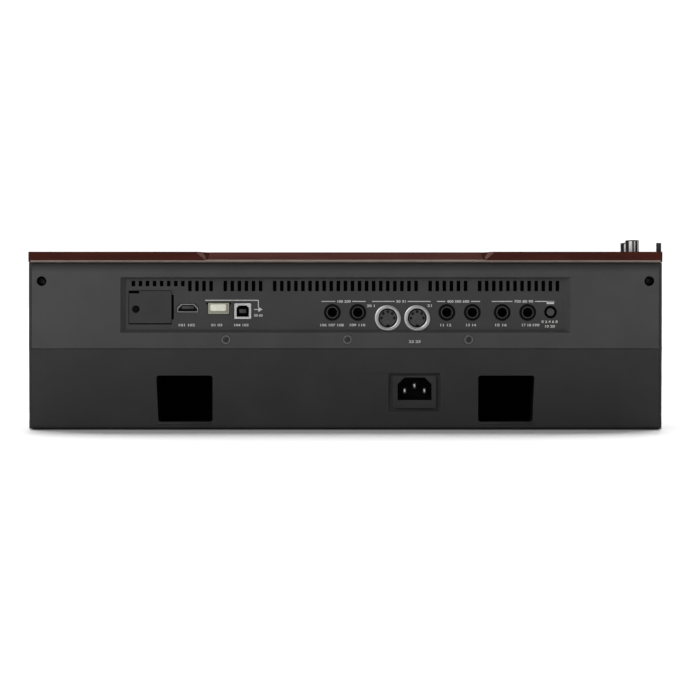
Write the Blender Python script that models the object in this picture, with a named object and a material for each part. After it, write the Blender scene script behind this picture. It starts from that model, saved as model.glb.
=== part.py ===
"""Compact arranger keyboard: 25 hinged keys, controls, display, speakers and a rear connector field.

Metres, +Z up. The player sits at -Y and the connectors face +Y.
The origin is on the floor under the middle of the case.
"""

import math

import bmesh
import bpy
from mathutils import Matrix, Vector

# Clearances
SEAT_GAP = 0.0003
CUT_OVERRUN = 0.001

# Case
REAR_HEIGHT = 0.1264
BLOCK_WIDTH = 0.0843
FOOT_HEIGHT = 0.0006
FOOT_RADIUS = 0.009
FOOT_INSET = 0.032
FOOT_ROOT = 0.001
FLOOR_THICK = 0.002
LOW_EDGE_RADIUS = 0.0022
SIDE_WALL = 0.003
SIDE_SLIVER = 0.0016
PANEL_SEAM = 0.0005
FRONT_WALL = 0.0075
SLIP_DROP = 0.016
KEY_FRONT_GAP = 0.0025

# Deck
DECK_THICK = 0.0071
DECK_CHAMFER = 0.0014
DECK_OVERHANG = 0.005
REAR_ZONE = 0.060
REAR_SLOPE = math.radians(4)
PANEL_ZONE = 0.120
PANEL_SLOPE = math.radians(12)
BLOCK_SLOPE = math.radians(5)
NOSE_RADIUS = 0.0055
SKIRT_WALL = 0.0025
SKIRT_DROP = 0.014
FALL_RISE = 0.0187
FALL_CLEARANCE = 0.0015
SCOOP_DEPTH = 0.006
SCOOP_PAST_DISPLAY = 0.0042
SCOOP_TOP_FLARE = 0.0082
SCOOP_INNER_TAPER = 0.0022

# Keys
OCTAVES = 2
WHITE_PITCH = 0.0235
KEY_GAP = 0.001
KEY_THICK = 0.012
KEY_LIP = 0.0015
KEY_LIP_THICK = 0.004
WHITE_LENGTH = 0.150
HEAD_LENGTH = 0.050
BLACK_WIDTH = 0.011
BLACK_TOP_WIDTH = 0.0094
BLACK_RISE = 0.012
BLACK_NOSE = 0.007
BLACK_FRONT_LIP = 0.001
BLACK_BACK_GAP = 0.002
CHEEK_WIDTH = 0.011
END_GAP = 0.0006

# Key frame
PIVOT_BEHIND_FALL = 0.050
PIVOT_ABOVE_BOTTOM = 0.004
HINGE_BEAD_RADIUS = 0.0025
HINGE_WALL = 0.003
KEY_TAIL = 0.006
FRAME_PLATE = 0.003
STOP_RAIL_WALL = 0.004
STOP_RAIL_SETBACK = 0.010
KEY_DROP = 0.0105
FRAME_REAR_LIP = 0.008

# Rear panels
PANEL_WALL = 0.003
SPLIT_BELOW_FIELD = 0.0137
LOWER_STEP = 0.0006
LOWER_LEAN = 0.003
LOWER_WALL = 0.003
PANEL_FLOOR_GAP = 0.0003

# Connector field, whose drops are measured down from its upper edge
FIELD_HALF_WIDTH = 0.1558
FIELD_HEIGHT = 0.0363
FIELD_BELOW_DECK = 0.0189
FIELD_DEPTH = 0.004
FIELD_WALL = 0.0035
FIELD_BEVEL = 0.0038
FIELD_TOP_BEVEL = 0.0008
FIELD_LOW_BEVEL = 0.0022
FIELD_MARGIN = 0.0072
VENT_PITCH = 0.00502
VENT_WIDTH = 0.0026
VENT_DROP = 0.0017
VENT_HEIGHT = 0.0073
VENT_SHORT_HEIGHT = 0.0038
VENT_FIRST_X = 0.1506
VENT_PLACES = 61
VENT_BARS = (12, 19, 41, 48)
VENT_SHORT_COUNT = 8

# Screws of the rear panel
DEEP_SCREW_FROM_SIDE = 0.009
DEEP_SCREW_DROP = 0.0019
DEEP_SCREW_RADIUS = 0.0035
DEEP_SCREW_DEPTH = 0.010
SCREW_BOSS_HALF = 0.0055
SCREW_BOSS_FLOOR = 0.002
BRIGHT_SCREW_X = (0.0848, -0.0014, -0.0874)
BRIGHT_SCREW_BELOW_FIELD = 0.0071
BRIGHT_SCREW_RADIUS = 0.0033
BRIGHT_SCREW_DEPTH = 0.0016

# Service cover
COVER_X = 0.1386
COVER_DROP = 0.0203
COVER_WIDTH = 0.0301
COVER_HEIGHT = 0.023
COVER_THICK = 0.0016
COVER_GAP = 0.0004
COVER_LEDGE = 0.0025
COVER_NOTCH_WIDTH = 0.0073
COVER_NOTCH_HEIGHT = 0.0018
LATCH_SLIT_OUT = 0.0017
LATCH_SLIT_IN = 0.0006
LATCH_SLIT_HEIGHT = 0.0175
COVER_SCREW_IN = 0.0048
COVER_SCREW_DOWN = 0.0015
COVER_SCREW_RADIUS = 0.0023
COVER_SCREW_DEPTH = 0.0008

# Sockets
SOCKET_GAP = 0.0004
SOCKET_PROUD = 0.0005
HDMI_X = 0.112
HDMI_DROP = 0.0211
HDMI_WIDTH = 0.0148
HDMI_HEIGHT = 0.006
HDMI_CHAMFER = 0.0028
HDMI_SHELL = 0.0006
HDMI_CAVITY = 0.0105
HDMI_TONGUE_WIDTH = 0.0084
HDMI_TONGUE_HEIGHT = 0.0018
HDMI_TONGUE_RISE = 0.0006
TONGUE_SETBACK = 0.001
HOST_X = 0.0900
HOST_DROP = 0.0213
HOST_WIDTH = 0.0148
HOST_HEIGHT = 0.0077
HOST_SHELL = 0.0008
HOST_CAVITY = 0.012
HOST_TONGUE_HEIGHT = 0.0026
HOST_TONGUE_SIDE = 0.0009
HOST_TONGUE_RISE = 0.0010
DEVICE_X = 0.0729
DEVICE_DROP = 0.0232
DEVICE_WIDTH = 0.0120
DEVICE_HEIGHT = 0.0112
DEVICE_SHELL = 0.0016
DEVICE_CAVITY = 0.009
DEVICE_CHAMFER = 0.0017
DEVICE_TONGUE_WIDTH = 0.0046
DEVICE_TONGUE_HEIGHT = 0.0026
SOCKET_CORNER = 0.0006
JACK_PAIRS_X = (0.0002, -0.0811, -0.1204)
JACK_PITCH = 0.0181
JACK_DROP = 0.0241
JACK_NOSE_RADIUS = 0.0056
JACK_BORE_RADIUS = 0.00325
JACK_BODY_WIDTH = 0.0155
JACK_BODY_HEIGHT = 0.0165
JACK_BORE_DEPTH = 0.014
MIDI_X = (-0.0301, -0.051)
MIDI_DROP = 0.0281
MIDI_RADIUS = 0.0092
MIDI_OPENING_RADIUS = 0.00695
MIDI_INSERT_SETBACK = 0.0008
MIDI_PIN_CIRCLE = 0.0045
MIDI_PIN_RADIUS = 0.0009
MIDI_PIN_DEPTH = 0.004
MIDI_PIN_COUNT = 5
MIDI_BODY_WIDTH = 0.0195
MIDI_BODY_HEIGHT = 0.0155
GAIN_X = -0.1457
GAIN_DROP = 0.0239
GAIN_HOLE_RADIUS = 0.00455
GAIN_KNOB_RADIUS = 0.0027
GAIN_KNOB_SETBACK = 0.0012
GAIN_SLOT_WIDTH = 0.0008
GAIN_SLOT_DEPTH = 0.0006

# Inlet
INLET_X = -0.0491
INLET_Z = 0.0270
INLET_FLANGE_WIDTH = 0.0309
INLET_FLANGE_HEIGHT = 0.0230
INLET_FLANGE_THICK = 0.002
INLET_RECESS_WIDTH = 0.0366
INLET_RECESS_HEIGHT = 0.0270
INLET_RECESS_DROP = 0.0002
INLET_RECESS_DEPTH = 0.0033
INLET_BODY_WIDTH = 0.0275
INLET_BODY_HEIGHT = 0.0186
INLET_BODY_RISE = 0.0015
INLET_BODY_DEPTH = 0.028
INLET_CAVITY_WIDTH = 0.0240
INLET_CAVITY_HEIGHT = 0.0160
INLET_CAVITY_RISE = 0.0022
INLET_CAVITY_DEPTH = 0.017
INLET_CAVITY_CHAMFER = 0.0048
INLET_PIN_SPACING = 0.014
INLET_PIN_WIDTH = 0.002
INLET_PIN_HEIGHT = 0.004
INLET_PIN_DROP = 0.0014
INLET_EARTH_RISE = 0.0035
INLET_PIN_SETBACK = 0.002
INLET_CORNER = 0.0015

# Rear ports
PORT_INNER_X = 0.0943
PORT_OUTER_X = 0.1342
PORT_OUTER_SLANT = 0.0014
PORT_BOTTOM = 0.0057
PORT_TOP = 0.0386
PORT_DEPTH = 0.058
PORT_WALL = 0.0014
PORT_CORNER = 0.0018

# Boards
BOARD_THICK = 0.0016
BOARD_BEHIND_FIELD = 0.0165
BOARD_BELOW_FIELD = 0.0052
BOARD_ABOVE_FIELD = 0.0005
BOARD_PAST_HDMI = 0.018
BOARD_PAST_GAIN = 0.008
SUPPLY_WIDTH = 0.080
SUPPLY_DEPTH = 0.062
SUPPLY_HEIGHT = 0.034
SUPPLY_BEHIND_INLET = 0.006

# Display
CONTROL_ZONE = 0.130
DISPLAY_HEIGHT = 0.098
DISPLAY_RIM = 0.0016
BEZEL_BORDER = 0.006
BEZEL_SEAT_DEPTH = 0.0022
BEZEL_BODY_INSET = 0.004
BEZEL_WINDOW_INSET = 0.003
GLASS_THICK = 0.0018
GLASS_GAP = 0.0004
GLASS_RECESS = 0.0002

# Speakers
SPEAKER_FROM_SIDE = 0.045
SPEAKER_FROM_BREAK = 0.038
SPEAKER_RADIUS = 0.032
SPEAKER_RIM = 0.003
SPEAKER_DEPTH = 0.024
SPEAKER_MAGNET_RADIUS = 0.014
SPEAKER_MAGNET_DEPTH = 0.008
SPEAKER_CONE_RADIUS = 0.026
SPEAKER_CONE_DEPTH = 0.010
SPEAKER_CAP_RADIUS = 0.009
GRILLE_SLOT = 0.003
GRILLE_PITCH = 0.006
GRILLE_RADIUS = 0.029

# Deck controls
RIBBED_KNOB_RADIUS = 0.005
RIBBED_KNOB_HEIGHT = 0.0096
RIBBED_KNOBS_FROM_SIDE = (0.0198, 0.0217)
RIBBED_KNOB_FROM_REAR = 0.025
RIBBED_KNOB_SPACING = 0.023
CONTROL_GAP = 0.0004
SHAFT_RADIUS = 0.002
SHAFT_BELOW = 0.003
SHAFT_CLEARANCE = 0.0004
DIAL_RADIUS = 0.0175
DIAL_HEIGHT = 0.011
DIAL_DIMPLE_RADIUS = 0.0055
DIAL_DIMPLE_DEPTH = 0.002
DIAL_DIMPLE_OUT = 0.0105
DIAL_PAST_DISPLAY = 0.027
DIAL_FROM_FALL = 0.058
DIAL_SHAFT_RADIUS = 0.003
BUTTON_WIDTH = 0.024
BUTTON_LENGTH = 0.011
BUTTON_PROUD = 0.0016
BUTTON_TRAVEL = 0.0012
BUTTON_FLANGE = 0.002
BUTTON_FLANGE_THICK = 0.0015
BUTTON_PAST_DISPLAY = 0.027
START_BUTTON_FROM_FALL = 0.036
BUTTON_SPACING = 0.030
BUTTON_CORNER = 0.0015

# Wheels of the control block
WHEEL_RADIUS = 0.024
WHEEL_WIDTH = 0.010
WHEEL_RISE = 0.009
WHEEL_FROM_FALL = 0.080
WHEEL_SPACING = 0.024
WHEEL_GAP = 0.0008
WHEEL_AXLE_RADIUS = 0.0025
WHEEL_AXLE_STUB = 0.0035
WHEEL_EAR_WALL = 0.003
WHEEL_EAR_HALF_LENGTH = 0.007
WHEEL_EAR_BELOW = 0.006
WHEEL_NOTCH_RADIUS = 0.006
WHEEL_NOTCH_DEPTH = 0.0022

# Power toggle at the rear left corner of the deck
TOGGLE_FROM_REAR = 0.012
TOGGLE_WIDTH = 0.0036
TOGGLE_SIDE_GAP = 0.0001
TOGGLE_INNER_GAP = 0.0005
TOGGLE_HUB_RADIUS = 0.0026
TOGGLE_HUB_BELOW = 0.0035
TOGGLE_RISE = 0.0072
TOGGLE_BASE_HALF = 0.0017
TOGGLE_TIP_HALF = 0.0021
TOGGLE_NOTCH_HALF = 0.0056
TOGGLE_STUB_RADIUS = 0.0015
TOGGLE_STUB_LENGTH = 0.004

# Round pieces
ROUND_STEPS = 32
SMALL_STEPS = 20
PIN_STEPS = 10
CORNER_STEPS = 3
HINGE_STEPS = 8
SHARP_ANGLE = math.radians(35)

# Places worked out from the sizes above
WHITES_PER_OCTAVE = 7
WHITE_COUNT = OCTAVES * WHITES_PER_OCTAVE + 1
BODY_WIDTH = BLOCK_WIDTH + WHITE_COUNT * WHITE_PITCH + 2 * END_GAP + CHEEK_WIDTH
BODY_DEPTH = REAR_ZONE + PANEL_ZONE + WHITE_LENGTH + KEY_FRONT_GAP + FRONT_WALL
HALF_WIDTH = BODY_WIDTH / 2
DECK_REAR_Y = BODY_DEPTH / 2
REAR_Y = DECK_REAR_Y - DECK_OVERHANG
FRONT_Y = -BODY_DEPTH / 2
BREAK_Y = DECK_REAR_Y - REAR_ZONE
FALL_Y = BREAK_Y - PANEL_ZONE
BREAK_Z = REAR_HEIGHT - REAR_ZONE * math.tan(REAR_SLOPE)
FALL_Z = BREAK_Z - PANEL_ZONE * math.tan(PANEL_SLOPE)
NOSE_Z = FALL_Z - (FALL_Y - FRONT_Y) * math.tan(BLOCK_SLOPE)
FLOOR_BOTTOM = FOOT_HEIGHT
FLOOR_TOP = FOOT_HEIGHT + FLOOR_THICK
KEYS_RIGHT = HALF_WIDTH - CHEEK_WIDTH - END_GAP
KEYS_LEFT = KEYS_RIGHT - WHITE_COUNT * WHITE_PITCH
WELL_RIGHT = KEYS_RIGHT + END_GAP
WELL_LEFT = KEYS_LEFT - END_GAP
KEY_TOP = FALL_Z - FALL_RISE
KEY_BOTTOM = KEY_TOP - KEY_THICK
KEY_SLIP_HEIGHT = KEY_TOP - SLIP_DROP
SKIRT_BOTTOM = KEY_TOP - SKIRT_DROP
KEY_FRONT = FALL_Y - WHITE_LENGTH
PIVOT_Y = FALL_Y + PIVOT_BEHIND_FALL
PIVOT_Z = KEY_BOTTOM + PIVOT_ABOVE_BOTTOM
KEY_END = PIVOT_Y + HINGE_BEAD_RADIUS + SEAT_GAP + KEY_TAIL
FIELD_Y = REAR_Y - FIELD_DEPTH
FIELD_TOP = REAR_HEIGHT - FIELD_BELOW_DECK
FIELD_BOTTOM = FIELD_TOP - FIELD_HEIGHT
SPLIT_HEIGHT = FIELD_BOTTOM - SPLIT_BELOW_FIELD
VENT_TOP = FIELD_TOP - VENT_DROP
DEEP_SCREW_X = HALF_WIDTH - DEEP_SCREW_FROM_SIDE
DEEP_SCREW_Z = FIELD_TOP - DEEP_SCREW_DROP
BRIGHT_SCREW_Z = FIELD_BOTTOM - BRIGHT_SCREW_BELOW_FIELD
COVER_Z = FIELD_TOP - COVER_DROP
HDMI_Z = FIELD_TOP - HDMI_DROP
HOST_Z = FIELD_TOP - HOST_DROP
DEVICE_Z = FIELD_TOP - DEVICE_DROP
JACK_Z = FIELD_TOP - JACK_DROP
MIDI_Z = FIELD_TOP - MIDI_DROP
GAIN_Z = FIELD_TOP - GAIN_DROP
BOARD_BOTTOM = FIELD_BOTTOM - BOARD_BELOW_FIELD
BOARD_TOP = FIELD_TOP + BOARD_ABOVE_FIELD
BOARD_LEFT_X = HDMI_X + BOARD_PAST_HDMI
BOARD_RIGHT_X = GAIN_X - BOARD_PAST_GAIN
BOARD_FRONT_Y = FIELD_Y - BOARD_BEHIND_FIELD
SOCKET_BACK_Y = BOARD_FRONT_Y + SEAT_GAP
SOCKET_FACE_Y = FIELD_Y + SOCKET_PROUD
LOWER_TOP_Y = REAR_Y - LOWER_STEP
LOWER_FOOT_Y = LOWER_TOP_Y - LOWER_LEAN
LOWER_INNER_Y = LOWER_FOOT_Y - LOWER_WALL
REAR_HALF_WIDTH = HALF_WIDTH - SIDE_SLIVER - PANEL_SEAM
BLOCK_X = (WELL_LEFT - SKIRT_WALL - HALF_WIDTH + SIDE_WALL) / 2
WHEEL_Y = FALL_Y - WHEEL_FROM_FALL
DISPLAY_WIDTH = BODY_WIDTH - 2 * CONTROL_ZONE
DISPLAY_Y = FALL_Y + PANEL_ZONE / 2
SCOOP_HALF_LOW = DISPLAY_WIDTH / 2 + SCOOP_PAST_DISPLAY
SCOOP_HALF_TOP = SCOOP_HALF_LOW + SCOOP_TOP_FLARE
SCOOP_HALF_INNER = SCOOP_HALF_LOW - SCOOP_INNER_TAPER
SPEAKER_X = HALF_WIDTH - SPEAKER_FROM_SIDE
SPEAKER_Y = BREAK_Y - SPEAKER_FROM_BREAK
DIAL_X = DISPLAY_WIDTH / 2 + DIAL_PAST_DISPLAY
DIAL_Y = FALL_Y + DIAL_FROM_FALL
BUTTON_X = -DISPLAY_WIDTH / 2 - BUTTON_PAST_DISPLAY
START_BUTTON_Y = FALL_Y + START_BUTTON_FROM_FALL
VARIATION_BUTTON_Y = START_BUTTON_Y + BUTTON_SPACING


def clear_scene():
    """Remove what the scene holds at the start."""
    for thing in list(bpy.data.objects):
        bpy.data.objects.remove(thing, do_unlink=True)


def make_material(name, colour, roughness, metallic=0.0):
    """A plain Principled material."""
    material = bpy.data.materials.new(name)
    material.use_nodes = True
    shader = material.node_tree.nodes["Principled BSDF"]
    shader.inputs["Base Color"].default_value = (*colour, 1.0)
    shader.inputs["Roughness"].default_value = roughness
    shader.inputs["Metallic"].default_value = metallic
    material.diffuse_color = (*colour, 1.0)
    return material


def mesh_object(name, shape, material=None):
    """Turn a bmesh into an object with its faces pointing out."""
    bmesh.ops.recalc_face_normals(shape, faces=shape.faces)
    mesh = bpy.data.meshes.new(name)
    shape.to_mesh(mesh)
    shape.free()
    thing = bpy.data.objects.new(name, mesh)
    bpy.context.scene.collection.objects.link(thing)
    if material:
        mesh.materials.append(material)
    return thing


def prism(name, outline, axis, low, high, material=None):
    """A closed solid: a flat outline drawn out along one axis.

    The outline's pairs are (Y, Z) for axis X, (X, Z) for axis Y and (X, Y) for axis Z.
    """
    shape = bmesh.new()
    ends = []
    for level in (low, high):
        ring = []
        for first, second in outline:
            if axis == "X":
                point = (level, first, second)
            elif axis == "Y":
                point = (first, level, second)
            else:
                point = (first, second, level)
            ring.append(shape.verts.new(point))
        ends.append(ring)
    count = len(outline)
    for index in range(count):
        following = (index + 1) % count
        shape.faces.new((ends[0][index], ends[0][following], ends[1][following], ends[1][index]))
    shape.faces.new(ends[0])
    shape.faces.new(ends[1])
    return mesh_object(name, shape, material)


def box(name, x_range, y_range, z_range, material=None):
    """A block between pairs of X, Y and Z values."""
    outline = rectangle(x_range, y_range)
    return prism(name, outline, "Z", z_range[0], z_range[1], material)


def rectangle(first_range, second_range):
    """The four corners of an upright rectangle."""
    return [
        (first_range[0], second_range[0]),
        (first_range[1], second_range[0]),
        (first_range[1], second_range[1]),
        (first_range[0], second_range[1]),
    ]


def around(centre, size):
    """The low and high value of a stretch of a given size about its centre."""
    return (centre - size / 2, centre + size / 2)


def arc(centre, radius, start, end, steps):
    """Points of an arc, both ends included, with angles in radians."""
    points = []
    for step in range(steps + 1):
        angle = start + (end - start) * step / steps
        points.append((centre[0] + radius * math.cos(angle), centre[1] + radius * math.sin(angle)))
    return points


def circle(centre, radius, steps):
    """Points of a full circle."""
    return arc(centre, radius, 0, 2 * math.pi, steps)[:-1]


def rounded_rectangle(first_range, second_range, radius):
    """A rectangle with round corners."""
    quarter = math.pi / 2
    corners = [
        (first_range[1] - radius, second_range[1] - radius),
        (first_range[0] + radius, second_range[1] - radius),
        (first_range[0] + radius, second_range[0] + radius),
        (first_range[1] - radius, second_range[0] + radius),
    ]
    points = []
    for turn, corner in enumerate(corners):
        points += arc(corner, radius, turn * quarter, (turn + 1) * quarter, CORNER_STEPS)
    return points


def turned(name, profile, steps, material=None):
    """A solid of revolution about local Z from (radius, height) pairs, first and last on the axis."""
    shape = bmesh.new()
    rings = []
    for radius, height in profile:
        if radius == 0:
            rings.append([shape.verts.new((0, 0, height))])
        else:
            ring = [shape.verts.new((x, y, height)) for x, y in circle((0, 0), radius, steps)]
            rings.append(ring)
    for lower, upper in zip(rings, rings[1:]):
        for index in range(steps):
            following = (index + 1) % steps
            corners = [lower[index % len(lower)], lower[following % len(lower)]]
            corners += [upper[following % len(upper)], upper[index % len(upper)]]
            shape.faces.new(list(dict.fromkeys(corners)))
    return mesh_object(name, shape, material)


def bake(thing, shape_maker):
    """Apply the modifiers of an object to its mesh and remove the objects that shaped it."""
    bpy.context.view_layer.update()
    evaluated = thing.evaluated_get(bpy.context.evaluated_depsgraph_get())
    mesh = bpy.data.meshes.new_from_object(evaluated)
    old_mesh = thing.data
    thing.modifiers.clear()
    thing.data = mesh
    mesh.name = thing.name
    bpy.data.meshes.remove(old_mesh)
    for helper in shape_maker:
        helper_mesh = helper.data
        bpy.data.objects.remove(helper, do_unlink=True)
        bpy.data.meshes.remove(helper_mesh)


def combine(thing, others, operation):
    """Run one Boolean after another on an object."""
    for other in others:
        modifier = thing.modifiers.new(other.name, "BOOLEAN")
        modifier.object = other
        modifier.operation = operation
        modifier.solver = "EXACT"
    bake(thing, others)


def cut(thing, cutters):
    """Take the cutters out of an object."""
    combine(thing, cutters, "DIFFERENCE")


def add(thing, pieces):
    """Fuse pieces that overlap an object into it."""
    combine(thing, pieces, "UNION")


def merged(name, pieces):
    """One helper object from several that lie apart."""
    shape = bmesh.new()
    for piece in pieces:
        piece.data.transform(piece.matrix_world)
        shape.from_mesh(piece.data)
        mesh = piece.data
        bpy.data.objects.remove(piece, do_unlink=True)
        bpy.data.meshes.remove(mesh)
    return mesh_object(name, shape)


def move_origin(thing, origin):
    """Put an object's origin on a point without moving its surface."""
    thing.data.transform(Matrix.Translation(-Vector(origin)))
    thing.location = origin


def stand_on(thing, frame):
    """Place an object that was built in a local frame."""
    thing.matrix_world = frame
    bpy.context.view_layer.update()


def smooth(thing):
    """Shade round faces smooth and keep the edges sharp."""
    thing.data.shade_smooth()
    thing.data.set_sharp_from_angle(angle=SHARP_ANGLE)


def deck_height(y):
    """Height of the deck's top surface at a distance along Y."""
    if y >= BREAK_Y:
        return REAR_HEIGHT - (DECK_REAR_Y - y) * math.tan(REAR_SLOPE)
    if y >= FALL_Y:
        return BREAK_Z - (BREAK_Y - y) * math.tan(PANEL_SLOPE)
    return FALL_Z - (FALL_Y - y) * math.tan(BLOCK_SLOPE)


def deck_slope(y):
    """Slope of the deck's top surface at a distance along Y."""
    if y >= BREAK_Y:
        return REAR_SLOPE
    if y >= FALL_Y:
        return PANEL_SLOPE
    return BLOCK_SLOPE


def deck_frame(x, y):
    """A frame on the deck's top surface, local Z along its normal and local Y up the slope."""
    place = Matrix.Translation((x, y, deck_height(y)))
    return place @ Matrix.Rotation(deck_slope(y), 4, "X")


def slab_depth(y):
    """Thickness of the deck at right angles to its surface."""
    return DECK_THICK * math.cos(deck_slope(y))


def deck_underside(rear_y, drop):
    """Points under the deck from a rear plane to the nose, lowered by a further drop."""
    below = DECK_THICK + drop
    return [
        (rear_y, deck_height(rear_y) - below),
        (BREAK_Y, BREAK_Z - below),
        (FALL_Y, FALL_Z - below),
        (FRONT_Y, NOSE_Z - below),
    ]


def make_materials():
    """The materials that the pieces share, by name."""
    return {
        "deck": make_material("deck_red", (0.055, 0.015, 0.012), 0.35),
        "case": make_material("case_plastic", (0.028, 0.028, 0.029), 0.55),
        "panel": make_material("panel_paint", (0.055, 0.055, 0.055), 0.5),
        "black": make_material("black_plastic", (0.01, 0.01, 0.01), 0.4),
        "white": make_material("white_key", (0.78, 0.77, 0.73), 0.25),
        "steel": make_material("socket_steel", (0.55, 0.55, 0.56), 0.3, 1.0),
        "board": make_material("board_green", (0.02, 0.09, 0.04), 0.6),
        "glass": make_material("display_glass", (0.01, 0.012, 0.015), 0.08),
        "frame": make_material("frame_grey", (0.2, 0.2, 0.2), 0.6),
    }


def make_bottom_case(materials):
    """Floor, sides and front wall in one shell, open above and behind."""
    half_turn = math.pi
    radius = LOW_EDGE_RADIUS
    front_centre = (FRONT_Y + radius, FLOOR_BOTTOM + radius)
    outline = arc(front_centre, radius, half_turn, half_turn * 3 / 2, CORNER_STEPS)
    outline += rear_low_edge(FLOOR_BOTTOM)
    outline += [(LOWER_TOP_Y, SPLIT_HEIGHT), (REAR_Y, SPLIT_HEIGHT)]
    outline += deck_underside(REAR_Y, SEAT_GAP)
    case = prism("bottom_case", outline, "X", -HALF_WIDTH, HALF_WIDTH, materials["case"])
    above = REAR_HEIGHT + CUT_OVERRUN
    behind = REAR_Y + CUT_OVERRUN
    ahead = FRONT_Y - CUT_OVERRUN
    inside = HALF_WIDTH - SIDE_WALL
    rebate = HALF_WIDTH - SIDE_SLIVER
    front_inner = FRONT_Y + FRONT_WALL
    hollow = box("hollow", (-inside, inside), (front_inner, behind), (FLOOR_TOP, above))
    rebates = box("rebates", (-rebate, rebate), (LOWER_INNER_Y - SEAT_GAP, behind), (0, above))
    slip = box("slip", (WELL_LEFT, WELL_RIGHT), (ahead, front_inner + CUT_OVERRUN), (KEY_SLIP_HEIGHT, above))
    skirt_room = box(
        "skirt_room",
        (WELL_LEFT - SKIRT_WALL - SEAT_GAP, WELL_RIGHT + SKIRT_WALL + SEAT_GAP),
        (ahead, front_inner + CUT_OVERRUN),
        (SKIRT_BOTTOM - SEAT_GAP, above),
    )
    cut(case, [hollow, rebates, slip, skirt_room])
    foot_top = FLOOR_BOTTOM + FOOT_ROOT
    feet = []
    for x in (-HALF_WIDTH + FOOT_INSET, HALF_WIDTH - FOOT_INSET):
        for y in (FRONT_Y + FOOT_INSET, REAR_Y - FOOT_INSET):
            ring = circle((x, y), FOOT_RADIUS, SMALL_STEPS)
            feet.append(prism("foot", ring, "Z", 0, foot_top))
    add(case, feet)
    return case


def rear_low_edge(low):
    """Points of the round edge along the foot of the rear side, from a bottom height up."""
    centre = (LOWER_FOOT_Y - LOW_EDGE_RADIUS, low + LOW_EDGE_RADIUS)
    return arc(centre, LOW_EDGE_RADIUS, -math.pi / 2, 0, CORNER_STEPS)


def deck_outline():
    """Side view of the whole deck block, before it is hollowed out from below."""
    rear_bottom = REAR_HEIGHT - DECK_THICK
    quarter = math.pi / 2
    nose_centre = (FRONT_Y + NOSE_RADIUS, NOSE_Z - NOSE_RADIUS)
    nose = arc(nose_centre, NOSE_RADIUS, quarter + BLOCK_SLOPE / 2, 2 * quarter, CORNER_STEPS)
    outline = [(DECK_REAR_Y, rear_bottom + DECK_CHAMFER), (DECK_REAR_Y, REAR_HEIGHT)]
    outline += [(BREAK_Y, BREAK_Z), (FALL_Y, FALL_Z)] + nose
    outline += [(FRONT_Y, SKIRT_BOTTOM), (DECK_REAR_Y - DECK_CHAMFER, SKIRT_BOTTOM)]
    outline.append((DECK_REAR_Y - DECK_CHAMFER, rear_bottom))
    return outline


def make_underside_cutter():
    """The space under the deck, without the key well's walls and the wheels' ears."""
    ahead = FRONT_Y - CUT_OVERRUN
    behind = DECK_REAR_Y + CUT_OVERRUN
    below = SKIRT_BOTTOM - CUT_OVERRUN
    side = HALF_WIDTH + CUT_OVERRUN
    under = deck_underside(DECK_REAR_Y, 0)
    first = (behind, under[0][1] + CUT_OVERRUN * math.tan(REAR_SLOPE))
    last = (ahead, under[3][1] - CUT_OVERRUN * math.tan(BLOCK_SLOPE))
    outline = [first, under[1], under[2], last, (ahead, below), (behind, below)]
    cutter = prism("underside", outline, "X", -side, side)
    well_walls = box(
        "well_walls",
        (WELL_LEFT - SKIRT_WALL, WELL_RIGHT + SKIRT_WALL),
        (ahead - CUT_OVERRUN, FALL_Y + SKIRT_WALL),
        (below - CUT_OVERRUN, REAR_HEIGHT),
    )
    ear_bottom = wheel_centre_height() - WHEEL_EAR_BELOW
    keep = [well_walls]
    for x in wheel_ear_places():
        ear = box(
            "ear",
            around(x, WHEEL_EAR_WALL),
            (WHEEL_Y - WHEEL_EAR_HALF_LENGTH, WHEEL_Y + WHEEL_EAR_HALF_LENGTH),
            (ear_bottom, REAR_HEIGHT),
        )
        keep.append(ear)
    cut(cutter, keep)
    return cutter


def wheel_centre_height():
    """Height of the wheels' axles."""
    return deck_height(WHEEL_Y) + WHEEL_RISE - WHEEL_RADIUS


def wheel_places():
    """X of the pitch wheel and of the modulation wheel."""
    return (BLOCK_X - WHEEL_SPACING / 2, BLOCK_X + WHEEL_SPACING / 2)


def wheel_ear_places():
    """X of the ears that carry the axles, one on each side of each wheel."""
    reach = WHEEL_WIDTH / 2 + WHEEL_GAP + WHEEL_EAR_WALL / 2
    left_wheel, right_wheel = wheel_places()
    return (left_wheel - reach, left_wheel + reach, right_wheel - reach, right_wheel + reach)


def make_top_deck(materials):
    """The red deck with the key well's walls and every opening of the controls."""
    side = HALF_WIDTH
    deck = prism("top_deck", deck_outline(), "X", -side, side, materials["deck"])
    well = box(
        "well",
        (WELL_LEFT, WELL_RIGHT),
        (FRONT_Y - CUT_OVERRUN, FALL_Y),
        (SKIRT_BOTTOM - CUT_OVERRUN, REAR_HEIGHT),
    )
    fall_opening = box(
        "fall_opening",
        (WELL_LEFT, WELL_RIGHT),
        (FALL_Y - CUT_OVERRUN, FALL_Y + SKIRT_WALL + CUT_OVERRUN),
        (SKIRT_BOTTOM - CUT_OVERRUN, KEY_TOP + FALL_CLEARANCE),
    )
    cut(deck, [make_underside_cutter(), well, fall_opening, make_scoop_cutter()])
    cut(deck, [merged("control_holes", deck_hole_cutters())])
    cut(deck, [merged("wheel_slots", wheel_slot_cutters()), merged("axle_holes", axle_hole_cutters())])
    cut(deck, [make_toggle_notch(), make_toggle_bore()])
    return deck


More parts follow.
